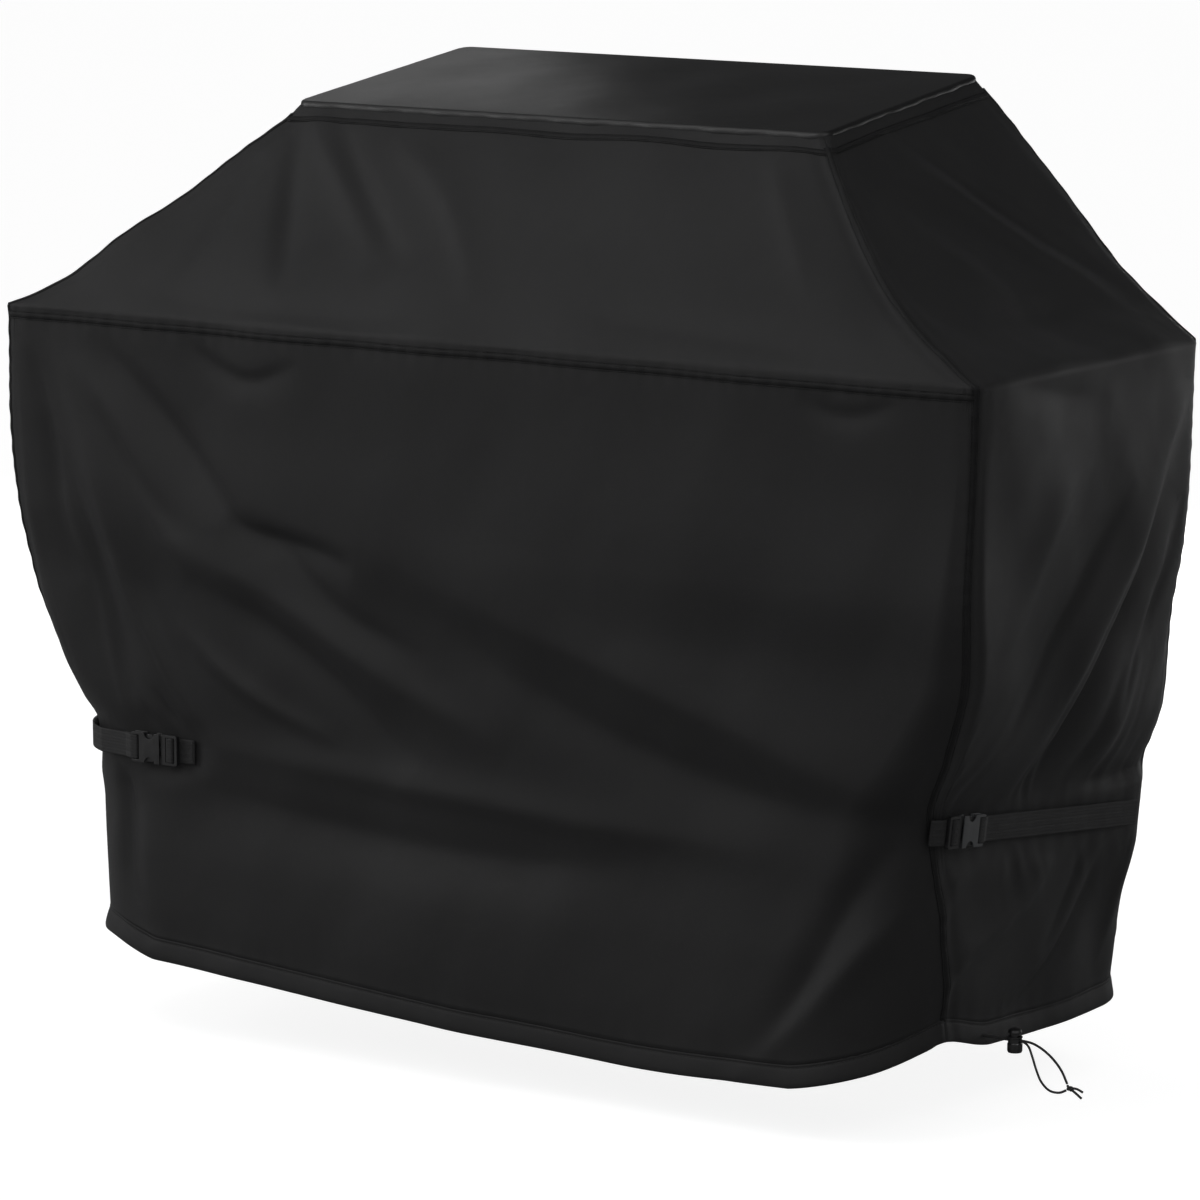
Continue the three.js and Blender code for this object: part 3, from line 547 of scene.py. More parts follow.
def ease(low, high, value):
    t = np.clip((value - low) / (high - low), 0, 1)
    return t * t * (3 - 2 * t)


def smoothLine(points):
    p = np.array([(a, 0.0, b) for a, b in points])
    return splineThrough(p, 26)[:, [0, 2]] if len(points) > 2 else np.asarray(points, float)


def nearLine(u, v, line):  # signed distance from a line (left is positive), and how far along
    lengths = np.linalg.norm(np.diff(line, axis=0), axis=1)
    total = lengths.sum()
    best, sign, along, passed = np.full(u.shape, 1e18), np.ones(u.shape), np.zeros(u.shape), 0.0
    for a, b, length in zip(line[:-1], line[1:], lengths):
        d = (b - a) / length
        t = np.clip((u - a[0]) * d[0] + (v - a[1]) * d[1], 0, length)
        eu, ev = u - a[0] - t * d[0], v - a[1] - t * d[1]
        far = eu * eu + ev * ev
        closer = far < best
        best = np.where(closer, far, best)
        sign = np.where(closer, np.where(d[0] * ev - d[1] * eu >= 0, 1, -1), sign)
        along = np.where(closer, (passed + t) / total, along)
        passed += length
    return np.sqrt(best) * sign, along


foldLines = {face: [(smoothLine(line), *rest) for line, *rest in folds] for face, folds in foldMap.items()}
seamPlaces = {
    "frontRight": lambda h: 1 + planAt(np.asarray(h, float))["seam"],
    "backRight": lambda h: 3.5 + 0 * np.asarray(h, float),
    "backLeft": lambda h: 5.5 + 0 * np.asarray(h, float),
    "frontLeft": lambda h: 8 - planAt(np.asarray(h, float))["seam"],
}
strapRuns = {  # where the straps press on the cloth: first and last height and place
    "right": ((391, 1.82), (352, 2.98)),
    "left": ((384, 0.09), (384, -1.98)),
}
strapLines = {k: outerFace(*np.linspace(a, b, 40).T) for k, (a, b) in strapRuns.items()}


def strapNearness(points):  # 1 under a strap, 0 away from it
    near = np.zeros(points.shape[:-1])
    for line in strapLines.values():
        best = np.full(near.shape, 1e18)
        for a, b in zip(line[:-1], line[1:]):
            d = b - a
            t = np.clip(((points - a) @ d) / (d @ d), 0, 1)[..., None]
            best = np.minimum(best, ((points - a - t * d) ** 2).sum(-1))
        near = np.maximum(near, 1 - ease(*clothSettings["strapReach"], np.sqrt(best)))
    return near


def bell(far, width):
    return np.exp(-((far / width) ** 2))


def unevenWave(along, length, bends):
    turn = 2 * math.pi * along / length
    for amount, size in bends:
        turn = turn + amount * np.sin(along / size)
    return np.sin(turn)


def foldRelief(face, u, v):
    s, total = clothSettings, np.zeros(u.shape)
    for line, amount, left, right in foldLines[face]:
        far, along = nearLine(u, v, line)
        sides = np.exp(-((np.abs(far) / np.where(far > 0, left, right)) ** s["foldSides"]))
        total += amount * sides * np.sin(math.pi * np.clip(along, 0, 1)) ** s["foldEnds"]
    return total


def gatherRelief(place, arc, z):  # cloth bunched above and below the straps
    s, level = clothSettings, strapLines["right"][:, 2].mean()
    ring = np.where((place % 8 > 1.9) & (place % 8 < 3.15) | (place % 8 > 5.95), 1.0, 0.0)
    near = np.exp(-((np.abs(z - level) / np.where(z > level, *s["gatherReach"])) ** 1.5))
    pleat = np.sin(2 * math.pi * arc / s["gatherLength"] + 2.6 * np.sin(arc / 41 + z / 80) + z / 55)
    uneven = ease(-0.4, 1.1, np.sin(arc / 29 + 1) + 0.6 * np.sin(arc / 13 - z / 70))
    return ring * near * uneven * s["gatherHeight"] * (pleat - 0.5)


def clothRelief(height, place, points, normals):  # how far the cloth stands off the smooth shape
    s = clothSettings
    x, y, z = points[..., 0], points[..., 1], points[..., 2]
    flat = normals[..., :2] / np.linalg.norm(normals[..., :2], axis=-1)[..., None]
    facing = {"front": -flat[..., 1], "right": flat[..., 0], "back": flat[..., 1], "left": -flat[..., 0]}
    relief = np.zeros(x.shape)
    for face, towards in facing.items():
        weight = ease(0.5, 0.9, towards)
        pick = weight > 0
        if pick.any():
            across = x if face in ("front", "back") else y
            relief[pick] += weight[pick] * foldRelief(face, across[pick], z[pick])
    for vector, phase, amount in swellWaves:
        relief += amount * np.sin(points @ vector + phase)
    arc = x * np.abs(flat[..., 1]) + y * np.abs(flat[..., 0])
    depth, off, width = s["groove"]
    for seamPlace in seamPlaces.values():
        line = outerFace(height, seamPlace(height))
        far = np.linalg.norm(points[..., :2] - line[..., :2], axis=-1)
        ripple = unevenWave(height, s["puckerLength"], s["puckerBends"])
        relief += bell(far, s["puckerReach"]) * (s["puckerHeight"] * ripple - s["puckerSink"])
        relief -= depth * bell(far - off, width)
    frontBack = ease(0.6, 0.9, np.abs(flat[..., 1]))
    ripple = unevenWave(arc, s["puckerLength"], s["crossBends"])
    nearCross = bell(np.abs(height - coverSizes["crossSeam"]), s["puckerReach"])
    relief += frontBack * nearCross * (s["crossHeight"] * ripple - s["crossSink"])
    relief += bell(height - 142, s["hemReach"]) * (s["hemRipple"] * unevenWave(arc, s["hemLength"], s["hemBends"]) - 1.0)
    relief += s["hemFlare"] * ease(150, 112, height)
    relief += gatherRelief(place, arc, z)
    relief *= ease(1219, 1196, height)  # smooth where the top's lip covers it
    onStrap = strapNearness(points)
    return relief * (1 - onStrap) + onStrap * (s["underStrap"] + 0.3 * np.sin(arc / 6))


def clothPoint(height, place, lift=0.0):
    height, place = np.broadcast_arrays(np.asarray(height, float), np.asarray(place, float))
    points, normals = baseFace(height, place), outward(height, place)
    relief = clothRelief(height, place, points, normals)
    return points + normals * (relief + lift)[..., None]


# ---- finishes ----
def newGroup(name, inputs, outputs):
    tree = bpy.data.node_groups.new(name, "ShaderNodeTree")
    for label, kind, value in inputs:
        socket = tree.interface.new_socket(label, in_out="INPUT", socket_type=kind)
        if value is not None:
            socket.default_value = value
    for label, kind in outputs:
        tree.interface.new_socket(label, in_out="OUTPUT", socket_type=kind)
    return tree, tree.nodes.new("NodeGroupInput"), tree.nodes.new("NodeGroupOutput")


def addNode(tree, kind, settings=None, **sockets):
    node = tree.nodes.new(kind)
    for key, value in (settings or {}).items():
        setattr(node, key, value)
    for key, value in sockets.items():
        socket = node.inputs[int(key[1:])] if key[0] == "i" and key[1:].isdigit() else node.inputs[key]
        if isinstance(value, bpy.types.NodeSocket):
            tree.links.new(value, socket)
        else:
            socket.default_value = value
    return node


def mathNode(tree, operation, first, second=0.0, clamp=False):
    return addNode(tree, "ShaderNodeMath", {"operation": operation, "use_clamp": clamp}, i0=first, i1=second).outputs[0]


def weaveGroup():  # plain weave: threads pass over and under each other
    tree, given, made = newGroup(
        "plainWeave", [("Place", "NodeSocketVector", None), ("Pitch", "NodeSocketFloat", 0.0006)],
        [("Height", "NodeSocketFloat"), ("Shade", "NodeSocketFloat")])
    turns = mathNode(tree, "DIVIDE", math.pi, given.outputs["Pitch"])
    cells = addNode(tree, "ShaderNodeVectorMath", {"operation": "SCALE"}, i0=given.outputs["Place"], Scale=turns)
    parts = addNode(tree, "ShaderNodeSeparateXYZ", i0=cells.outputs[0])
    a, b = (mathNode(tree, "SINE", parts.outputs[k]) for k in (0, 1))
    over = mathNode(tree, "GREATER_THAN", mathNode(tree, "MULTIPLY", a, b), 0.0)
    height = addNode(tree, "ShaderNodeMix", {"data_type": "FLOAT"}, i0=over, i2=mathNode(tree, "ABSOLUTE", a),
                     i3=mathNode(tree, "ABSOLUTE", b)).outputs[0]
    slub = addNode(tree, "ShaderNodeTexNoise", {"noise_dimensions": "3D"}, Vector=cells.outputs[0], Scale=0.23, Detail=2.0)
    # painted shade: the thread height times a slub noise, so the colour is darkest in the gaps between threads; the
    # slubs add random tone of the yarn
    shade = mathNode(tree, "MULTIPLY", height, mathNode(tree, "ADD", slub.outputs[0], 0.5))
    tree.links.new(height, made.inputs["Height"])
    tree.links.new(shade, made.inputs["Shade"])
    return tree


def noise(tree, place, scale, detail, **more):
    return addNode(tree, "ShaderNodeTexNoise", Vector=place, Scale=scale, Detail=detail, **more).outputs[0]


def remap(tree, value, fromLow, fromHigh, toLow, toHigh):
    return addNode(tree, "ShaderNodeMapRange", i0=value, i1=fromLow, i2=fromHigh, i3=toLow, i4=toHigh).outputs[0]


def wearGroup():  # handling marks, dust and slow changes of shade
    tree, given, made = newGroup(
        "handlingMarks",
        [("Place", "NodeSocketVector", None), ("Size", "NodeSocketFloat", 6.0), ("Contrast", "NodeSocketFloat", 1.0)],
        [("Cloud", "NodeSocketFloat"), ("Specks", "NodeSocketFloat")])
    place = given.outputs["Place"]
    big = noise(tree, place, given.outputs["Size"], 4.0, Roughness=0.6)
    fine = noise(tree, place, 420.0, 2.0, Roughness=0.7)
    tree.links.new(remap(tree, big, 0.32, 0.7, 0.0, given.outputs["Contrast"]), made.inputs["Cloud"])
    tree.links.new(remap(tree, fine, 0.63, 0.78, 0.0, 1.0), made.inputs["Specks"])
    return tree


def creaseGroup():  # soft rumples too fine for the mesh
    tree, given, made = newGroup(
        "softCreases", [("Place", "NodeSocketVector", None), ("Size", "NodeSocketFloat", 14.0)], [("Height", "NodeSocketFloat")])
    bent = noise(tree, given.outputs["Place"], given.outputs["Size"], 3.0, Roughness=0.45, Distortion=0.6)
    fine = noise(tree, given.outputs["Place"], 60.0, 2.0)
    tree.links.new(mathNode(tree, "ADD", bent, mathNode(tree, "MULTIPLY", fine, 0.12)), made.inputs["Height"])
    return tree


plainWeave, handlingMarks, softCreases = weaveGroup(), wearGroup(), creaseGroup()


def useGroup(tree, group, **sockets):
    node = tree.nodes.new("ShaderNodeGroup")
    node.node_tree = group
    for key, value in sockets.items():
        if isinstance(value, bpy.types.NodeSocket):
            tree.links.new(value, node.inputs[key])
        else:
            node.inputs[key].default_value = value
    return node


def newMaterial(name):
    material = bpy.data.materials.new(name)
    material.use_nodes = True
    return material, material.node_tree, material.node_tree.nodes["Principled BSDF"]


def mixColour(tree, factor, first, second):
    first, second = ((*c, 1) if isinstance(c, tuple) else c for c in (first, second))
    return addNode(tree, "ShaderNodeMix", {"data_type": "RGBA"}, i0=factor, i6=first, i7=second).outputs[2]


def markedMaterial(name, markSize):  # a new material, where it lies, and its handling marks
    material, tree, shader = newMaterial(name)
    place = addNode(tree, "ShaderNodeTexCoord").outputs["Object"]
    return material, tree, shader, place, useGroup(tree, handlingMarks, Place=place, Size=markSize, Contrast=1.0)


def clothThreads(tree):
    return addNode(tree, "ShaderNodeUVMap", {"uv_map": "clothUv"}).outputs[0]


def share(tree, value, amount):
    return mathNode(tree, "MULTIPLY", value, amount)


def joinFinish(tree, shader, marks, base, dust, dustColour, rough, **values):  # dust, roughness and plain values
    dusted = mixColour(tree, share(tree, marks.outputs["Specks"], dust), base, dustColour)
    tree.links.new(dusted, shader.inputs["Base Color"])
    tree.links.new(remap(tree, marks.outputs["Cloud"], 0.0, 1.0, *rough), shader.inputs["Roughness"])
    for key, value in values.items():
        shader.inputs[inputNames[key]].default_value = value


def joinBump(tree, shader, height, strength, distance, **under):
    bump = addNode(tree, "ShaderNodeBump", Strength=strength, Distance=distance, Height=height, **under)
    tree.links.new(bump.outputs[0], shader.inputs["Normal"])


inputNames = {"specular": "Specular IOR Level", "sheen": "Sheen Weight", "sheenRough": "Sheen Roughness", "sheenTint": "Sheen Tint"}


def wovenMaterial(name, s):
    material, tree, shader, place, marks = markedMaterial(name, s["cloudSize"])
    weave = useGroup(tree, plainWeave, Place=clothThreads(tree), Pitch=s["pitch"])
    creases = useGroup(tree, softCreases, Place=place, Size=s["creaseSize"])
    # painted shade: the gap colour sits in the gaps between threads and the lit colour on the thread crowns; the cloud
    # and dust are the cloth's own tone
    base = mixColour(tree, weave.outputs["Shade"], s["gapShade"], s["lit"])
    clouded = mixColour(tree, share(tree, marks.outputs["Cloud"], s["cloud"]), base, s["faded"])
    joinFinish(tree, shader, marks, clouded, s["dust"], (0.16, 0.155, 0.15), s["rough"],
               specular=s["specular"], sheen=s["sheen"], sheenRough=0.45, sheenTint=(0.85, 0.86, 0.9, 1))
    soft = addNode(tree, "ShaderNodeBump", Strength=s["creaseStrength"], Distance=0.004, Height=creases.outputs["Height"])
    joinBump(tree, shader, weave.outputs["Height"], s["weaveStrength"], 0.00018, Normal=soft.outputs[0])
    return material


shellFinish = wovenMaterial("shellCloth", {
    "pitch": 0.0006, "gapShade": (0.0062, 0.0062, 0.0065), "lit": (0.0125, 0.0124, 0.0128), "faded": (0.0145, 0.0142, 0.0142),
    "cloud": 0.32, "cloudSize": 5.0, "creaseSize": 16.0, "creaseStrength": 0.28, "dust": 0.1,
    "rough": (0.5, 0.6), "specular": 0.2, "sheen": 0.03, "weaveStrength": 0.5,
})
topFinish = wovenMaterial("topCloth", {
    "pitch": 0.0006, "gapShade": (0.0045, 0.0045, 0.0048), "lit": (0.0078, 0.0078, 0.0082), "faded": (0.0095, 0.0095, 0.0096),
    "cloud": 0.3, "cloudSize": 4.0, "creaseSize": 10.0, "creaseStrength": 0.2, "dust": 0.12,
    "rough": (0.3, 0.38), "specular": 0.36, "sheen": 0.01, "weaveStrength": 0.2,
})
# the seam cloth is darker than the shell cloth the felled seams are folded from: painted shade along the seams and on
# the top's edge binding
seamFinish = wovenMaterial("seamCloth", {
    "pitch": 0.0006, "gapShade": (0.004, 0.004, 0.0043), "lit": (0.0085, 0.0085, 0.0088), "faded": (0.0105, 0.0103, 0.0104),
    "cloud": 0.3, "cloudSize": 22.0, "creaseSize": 60.0, "creaseStrength": 0.3, "dust": 0.14,
    "rough": (0.55, 0.66), "specular": 0.14, "sheen": 0.02, "weaveStrength": 0.5,
})


def ridges(tree, value, pitch):
    return mathNode(tree, "ABSOLUTE", mathNode(tree, "SINE", share(tree, value, math.pi / pitch)))


def webbingMaterial(name, s):  # ribbed herringbone tape
    material, tree, shader, place, marks = markedMaterial(name, 30.0)
    parts = addNode(tree, "ShaderNodeSeparateXYZ", i0=clothThreads(tree))
    slant = mathNode(tree, "ADD", parts.outputs[1], mathNode(tree, "PINGPONG", parts.outputs[0], s["rib"]))
    threadWave, ribWave = ridges(tree, slant, s["thread"]), ridges(tree, parts.outputs[0], s["rib"])
    height = mathNode(tree, "ADD", share(tree, threadWave, 0.6), share(tree, ribWave, 0.7))
    # painted shade: the colour follows the rib and thread height, with the gap colour in the grooves and the lit colour
    # on the ridges
    base = mixColour(tree, mathNode(tree, "MULTIPLY", height, 0.75, True), s["gapShade"], s["lit"])
    joinFinish(tree, shader, marks, base, 0.2, (0.14, 0.14, 0.14), (0.62, 0.78), specular=0.3, sheen=0.04)
    joinBump(tree, shader, height, 0.7, 0.0004)
    return material


webbingFinish = webbingMaterial("strapWebbing", {
    "rib": 0.004, "thread": 0.0011, "gapShade": (0.0035, 0.0035, 0.0038), "lit": (0.0125, 0.0125, 0.0132),
})


def cordMaterial(name, s):
    material, tree, shader, place, marks = markedMaterial(name, 60.0)
    weave = useGroup(tree, plainWeave, Place=clothThreads(tree), Pitch=s["pitch"])
    # painted shade: the gap colour sits in the gaps of the braid and the lit colour on its crowns
    base = mixColour(tree, weave.outputs["Shade"], s["gapShade"], s["lit"])
    joinFinish(tree, shader, marks, base, 0.15, (0.12, 0.12, 0.12), (0.5, 0.72), sheen=0.05)
    joinBump(tree, shader, weave.outputs["Height"], 0.6, 0.0002)
    return material


cordFinish = cordMaterial("cordBraid", {"pitch": 0.00055, "gapShade": (0.003, 0.003, 0.0033), "lit": (0.011, 0.011, 0.0116)})


def mouldedMaterial(name, s):  # injection-moulded plastic with a fine spark texture
    material, tree, shader, place, marks = markedMaterial(name, 45.0)
    scuffed = mixColour(tree, share(tree, marks.outputs["Cloud"], s["scuff"]), s["colour"], s["worn"])
    joinFinish(tree, shader, marks, scuffed, 0.2, (0.2, 0.2, 0.2), s["rough"])
    joinBump(tree, shader, noise(tree, place, 2600.0, 2.0), 0.35, 0.00012)
    return material


buckleFinish = mouldedMaterial("bucklePlastic", {
    "colour": (0.0055, 0.0055, 0.006), "worn": (0.013, 0.013, 0.0137), "scuff": 0.4, "rough": (0.36, 0.5),
})
socketFinish = mouldedMaterial("socketPlastic", {
    "colour": (0.04, 0.0415, 0.044), "worn": (0.065, 0.067, 0.07), "scuff": 0.5, "rough": (0.32, 0.46),
})
lockFinish = mouldedMaterial("lockPlastic", {
    "colour": (0.006, 0.006, 0.0065), "worn": (0.016, 0.016, 0.017), "scuff": 0.4, "rough": (0.26, 0.4),
})


def springMaterial(name):
    material, tree, shader, place, marks = markedMaterial(name, 80.0)
    cloud = marks.outputs["Cloud"]
    tree.links.new(mixColour(tree, cloud, (0.52, 0.53, 0.55), (0.4, 0.4, 0.41)), shader.inputs["Base Color"])
    tree.links.new(remap(tree, cloud, 0.0, 1.0, 0.24, 0.42), shader.inputs["Roughness"])
    shader.inputs["Metallic"].default_value = 1
    return material


springFinish = springMaterial("springSteel")


def threadMaterial(name):
    material, tree, shader = newMaterial(name)
    twist = noise(tree, addNode(tree, "ShaderNodeTexCoord").outputs["Object"], 900.0, 2.0)
    tree.links.new(mixColour(tree, twist, (0.0025, 0.0025, 0.0027), (0.0065, 0.0065, 0.007)), shader.inputs["Base Color"])
    shader.inputs["Roughness"].default_value = 0.55
    shader.inputs["Sheen Weight"].default_value = 0.1
    return material


threadFinish = threadMaterial("stitchThread")
print("finishes made")


# ---- panels of the shell ----
def placesAcross(first, last, flatSteps, arcSteps):
    a, b = math.ceil(first - 1e-9), math.floor(last + 1e-9)
    ends = np.linspace(first, a, arcSteps + 1)[:-1], np.linspace(b, last, arcSteps + 1)[1:]
    return np.concatenate([ends[0], np.linspace(a, b, flatSteps + 1), ends[1]])


def clothPanel(name, s):
    heights = np.linspace(*s["heights"], s["rows"])
    seamA, seamB = (seamPlaces[k](heights) for k in s["seams"])
    if s["seams"][0] == "frontLeft":  # places count up from the middle of the left corner
        seamA = seamA - 8
    inset = clothSettings["panelInset"]
    grid = np.array([placesAcross(a + inset, b - inset, *s["steps"]) for a, b in zip(seamA, seamB)])
    level = np.repeat(heights[:, None], grid.shape[1], 1)
    points, normals = baseFace(level, grid), outward(level, grid)
    relief = clothRelief(level, grid, points, normals)[..., None]
    o = slab(name, points + normals * relief, points + normals * (relief - coverSizes["cloth"]))
    finishPiece(o, "root", "shell_cloth", shellFinish, s["node"])
    print(name, "made")
    return o


panelSettings = {  # steps are on the flat, then round each corner
    "frontUpper": {
        "node": "front_upper_panel", "heights": (1218, 938.3), "rows": 58, "seams": ("frontLeft", "frontRight"), "steps": (180, 8)},
    "frontLower": {
        "node": "front_lower_panel", "heights": (937.7, 141.5), "rows": 128, "seams": ("frontLeft", "frontRight"), "steps": (205, 20)},
    "rightSide": {
        "node": "right_side_panel", "heights": (1218, 141.5), "rows": 186, "seams": ("frontRight", "backRight"), "steps": (92, 12)},
    "backUpper": {
        "node": "back_upper_panel", "heights": (1218, 938.3), "rows": 46, "seams": ("backRight", "backLeft"), "steps": (130, 8)},
    "backLower": {
        "node": "back_lower_panel", "heights": (937.7, 141.5), "rows": 106, "seams": ("backRight", "backLeft"), "steps": (170, 14)},
    "leftSide": {
        "node": "left_side_panel", "heights": (1218, 141.5), "rows": 160, "seams": ("backLeft", "frontLeft"), "steps": (84, 12)},
}
panels = {name: clothPanel(name + "Panel", s) for name, s in panelSettings.items()}
print("panels made")


# ---- top panel with its rolled edge ----
topSettings = {
    "columns": 132,
    "rows": 66,
    "crown": 3.2,
    "ripple": 0.7,
    "clear": 1.8,  # over the cloth below
    "bump": (330, 30, 2.2),  # a soft rise near its right end, and how high
    "roll": [  # outwards, then up
        (0, 0), (1.6, -0.3), (3.2, -1.4), (4.4, -3.4), (4.9, -6.2), (4.8, -9.2), (4.2, -11.8), (3.2, -13.2),
        (2.1, -13.4), (1.5, -12.2), (1.3, -9.5),
    ],
}


def topPanel(s):
    c = coverSizes
    halfLength, radius = c["topHalfLength"], c["topCorner"]
    middle, halfDepth = (c["topFront"] + c["topBack"]) / 2, (c["topBack"] - c["topFront"]) / 2
    u = np.linspace(-1, 1, s["columns"])
    x = halfLength * np.sign(u) * (1 - (1 - np.abs(u)) ** 1.25)
    inset = np.maximum(np.abs(x) - (halfLength - radius), 0)
    reach = halfDepth - radius + np.sqrt(np.maximum(radius**2 - inset**2, 0))
    v = np.linspace(-1, 1, s["rows"])
    v = np.sign(v) * (1 - (1 - np.abs(v)) ** 1.2)
    gx, gy = np.meshgrid(x, v, indexing="ij")
    y = middle + gy * reach[:, None]
    edge = (1 - (gx / halfLength) ** 4) * (1 - gy**4)
    z = c["topHeight"] + (y - c["topFront"]) * topSlope + s["clear"] + s["crown"] * edge
    waves = np.sin(gx / 71 + y / 43) + np.sin(gx / 39 - y / 57 + 1) + 0.7 * np.sin(gx / 23 + y / 90 + 2)
    z += s["ripple"] * edge * waves
    bumpX, bumpY, rise = s["bump"]
    z += rise * np.exp(-(((gx - bumpX) * 0.5 + (y - bumpY)) / 46) ** 2) * np.exp(-(((gx - bumpX) * 0.9) / 60) ** 2)
    top = np.stack([gx, y, z], -1)
    count = (s["columns"], s["rows"])
    index = np.arange(count[0] * count[1]).reshape(count)
    rim = np.concatenate([index[:-1, 0], index[-1, :-1], index[:0:-1, -1], index[0, :0:-1]])
    points = top.reshape(-1, 3)
    loop = points[rim]
    run = np.roll(loop, -1, 0) - np.roll(loop, 1, 0)
    out = np.stack([run[:, 1], -run[:, 0]], 1)
    out /= np.linalg.norm(out, axis=1)[:, None]
    along = np.concatenate([[0], np.cumsum(np.linalg.norm(np.diff(loop, axis=0), axis=1))])
    swell = 1 + 0.1 * np.sin(along / 17) + 0.08 * np.sin(along / 7.3 + 1)
    rows = [loop]
    for outwards, up in s["roll"][1:]:
        row = loop.copy()
        row[:, :2] += out * (outwards * swell)[:, None]
        row[:, 2] += up
        rows.append(row)
    lip = np.array(rows)
    n, k = len(points), len(rim)
    a = index[:-1, :-1].ravel()
    step = count[1]
    faces = np.stack([a, a + step, a + step + 1, a + 1], 1).tolist()
    ids = np.concatenate([rim[None], n + np.arange((len(rows) - 1) * k).reshape(len(rows) - 1, k)])
    for upper, lower in zip(ids[:-1], ids[1:]):
        faces += np.stack([upper, lower, np.roll(lower, -1), np.roll(upper, -1)], 1).tolist()
    everything = np.concatenate([points, lip[1:].reshape(-1, 3)])
    down = np.concatenate([[0], np.cumsum(np.linalg.norm(np.diff(s["roll"], axis=0), axis=1))])
    lipUv = np.stack([np.tile(along, len(rows) - 1), np.repeat(-down[1:], k)], 1)
    uv = np.concatenate([top[..., :2].reshape(-1, 2), lipUv]) / 1000
    o = meshFrom("topPanel", everything, faces, uv)
    skin = o.modifiers.new("thickness", "SOLIDIFY")
    skin.thickness, skin.offset = 0.001, -1
    finishPiece(o, "root", "top_cloth", topFinish, "top_panel")
    return o


topPiece = topPanel(topSettings)

# ---- felled seams ----
seamSettings = {
    "half": 5.6,
    "height": 1.35,
    "across": [-1, -0.96, -0.88, -0.78, -0.7, -0.62, -0.45, -0.2, 0, 0.2, 0.45, 0.62, 0.7, 0.78, 0.88, 0.96, 1],
    "rise": [-0.25, 0.4, 0.75, 0.55, 0.05, 0.55, 1.05, 1.25, 1.35, 1.25, 1.05, 0.55, 0.05, 0.55, 0.75, 0.4, -0.25],
    "stitchRows": (-0.7, 0.7),
    "stitchLift": 0.36,
    "under": (0.8, 0, -0.8),
    "underLift": -0.5,
    "step": 4.5,
}


def seamBand(name, heights, places, upright, s, node, closed=False):
    heights, places, half = np.asarray(heights, float), np.asarray(places, float), s["half"]
    if upright:  # width runs along the places
        scale = np.linalg.norm(outerFace(heights, places + 0.01) - outerFace(heights, places - 0.01), axis=1) / 0.02
        side = lambda k: (heights, places + k * half / scale)
    else:
        scale = np.linalg.norm(outerFace(heights + 2, places) - outerFace(heights - 2, places), axis=1) / 4
        side = lambda k: (heights - k * half / scale, places)
    wobble = 0.12 * np.sin(np.arange(len(heights)) * 0.9) + 0.08 * np.sin(np.arange(len(heights)) * 0.37 + 1)
    top = [clothPoint(*side(k), s["height"] * (r + (wobble if r > 0.6 else 0))) for k, r in zip(s["across"], s["rise"])]
    under = [clothPoint(*side(k), s["underLift"]) for k in s["under"]]
    rings = np.stack(top + under, 1)
    along = runLength(rings[None, :, 8], 1)[0]
    across = np.array(s["across"] + list(s["under"])) * half
    uv = np.stack(np.meshgrid(along, across, indexing="ij"), -1) / 1000
    band = tubeObject(name, rings, uv, closed=closed)
    finishPiece(band, "root", "seam_tape", seamFinish, node)
    return [clothPoint(*side(k), s["stitchLift"]) for k in s["stitchRows"]]


def evenPlaces(height, first, last, step):  # places an even distance apart round the cover
    fine = np.linspace(first, last, 1200)
    line = outerFace(np.full(1200, float(height)), fine)
    along = runLength(line[None], 1)[0]
    return np.interp(np.linspace(0, along[-1], max(int(along[-1] / step), 2) + 1), along, fine)


stitchLines = {"seam": [], "hem": []}
cross = coverSizes["crossSeam"]
for name, first, last in (("front", "frontLeft", "frontRight"), ("back", "backRight", "backLeft")):
    a, b = float(seamPlaces[first](cross)), float(seamPlaces[last](cross))
    a -= 8 if a > b else 0
    places = evenPlaces(cross, a, b, seamSettings["step"])
    level = np.full(len(places), cross)
    stitchLines["seam"] += seamBand(name + "CrossSeam", level, places, False, seamSettings, name + "_cross_seam")
cornerNodes = {"frontRight": "front_right", "backRight": "back_right", "backLeft": "back_left", "frontLeft": "front_left"}
for name, seamPlace in seamPlaces.items():
    heights = np.linspace(1206, 143, 236)
    node = cornerNodes[name] + "_corner_seam"
    stitchLines["seam"] += seamBand(name + "CornerSeam", heights, seamPlace(heights), True, seamSettings, node)
# the binding takes the darker seam cloth: painted shade under the top's lip
bindingSettings = dict(seamSettings, height=1.5, half=5.0)
bindingPlaces = evenPlaces(1205, 0, 8, bindingSettings["step"])[:-1]
bindingHeights = np.full(len(bindingPlaces), 1201.5)
bindingRows = seamBand("topEdgeBinding", bindingHeights, bindingPlaces, False, bindingSettings, "top_edge_binding", True)
stitchLines["seam"] += bindingRows[1:]
print("seams made")

# ---- hem with its drawcord channel ----
hemSettings = {
    "section": [  # inwards from the face, then up from the hem's foot
        (0.9, -0.3), (-0.2, 0.6), (-0.9, 2.6), (-1.25, 6), (-1.3, 11), (-1.1, 16), (-0.7, 20.5), (-0.2, 23.2), (0.35, 24.6),
        (-0.15, 25.8), (-0.3, 27.6), (0.1, 28.6), (1.4, 28.6), (1.5, 22), (1.6, 2.2), (2.6, 1.5), (5.8, 1.5), (7, 2.4),
        (7, 22), (8.2, 22), (8.5, 2.4), (7.8, 0.6), (6.2, -0.2), (3.4, -0.6),
    ],
    "stitchAt": (0.0, 24.6),
    "step": 6,
}


def hemStations(place):
    c = coverSizes
    foot = baseFace(c["hemHeight"], place)
    out = outward(c["skirtTop"], place)
    out = np.stack([out[:, 0], out[:, 1], 0 * out[:, 0]], 1)
    return foot, out / np.linalg.norm(out, axis=1)[:, None]


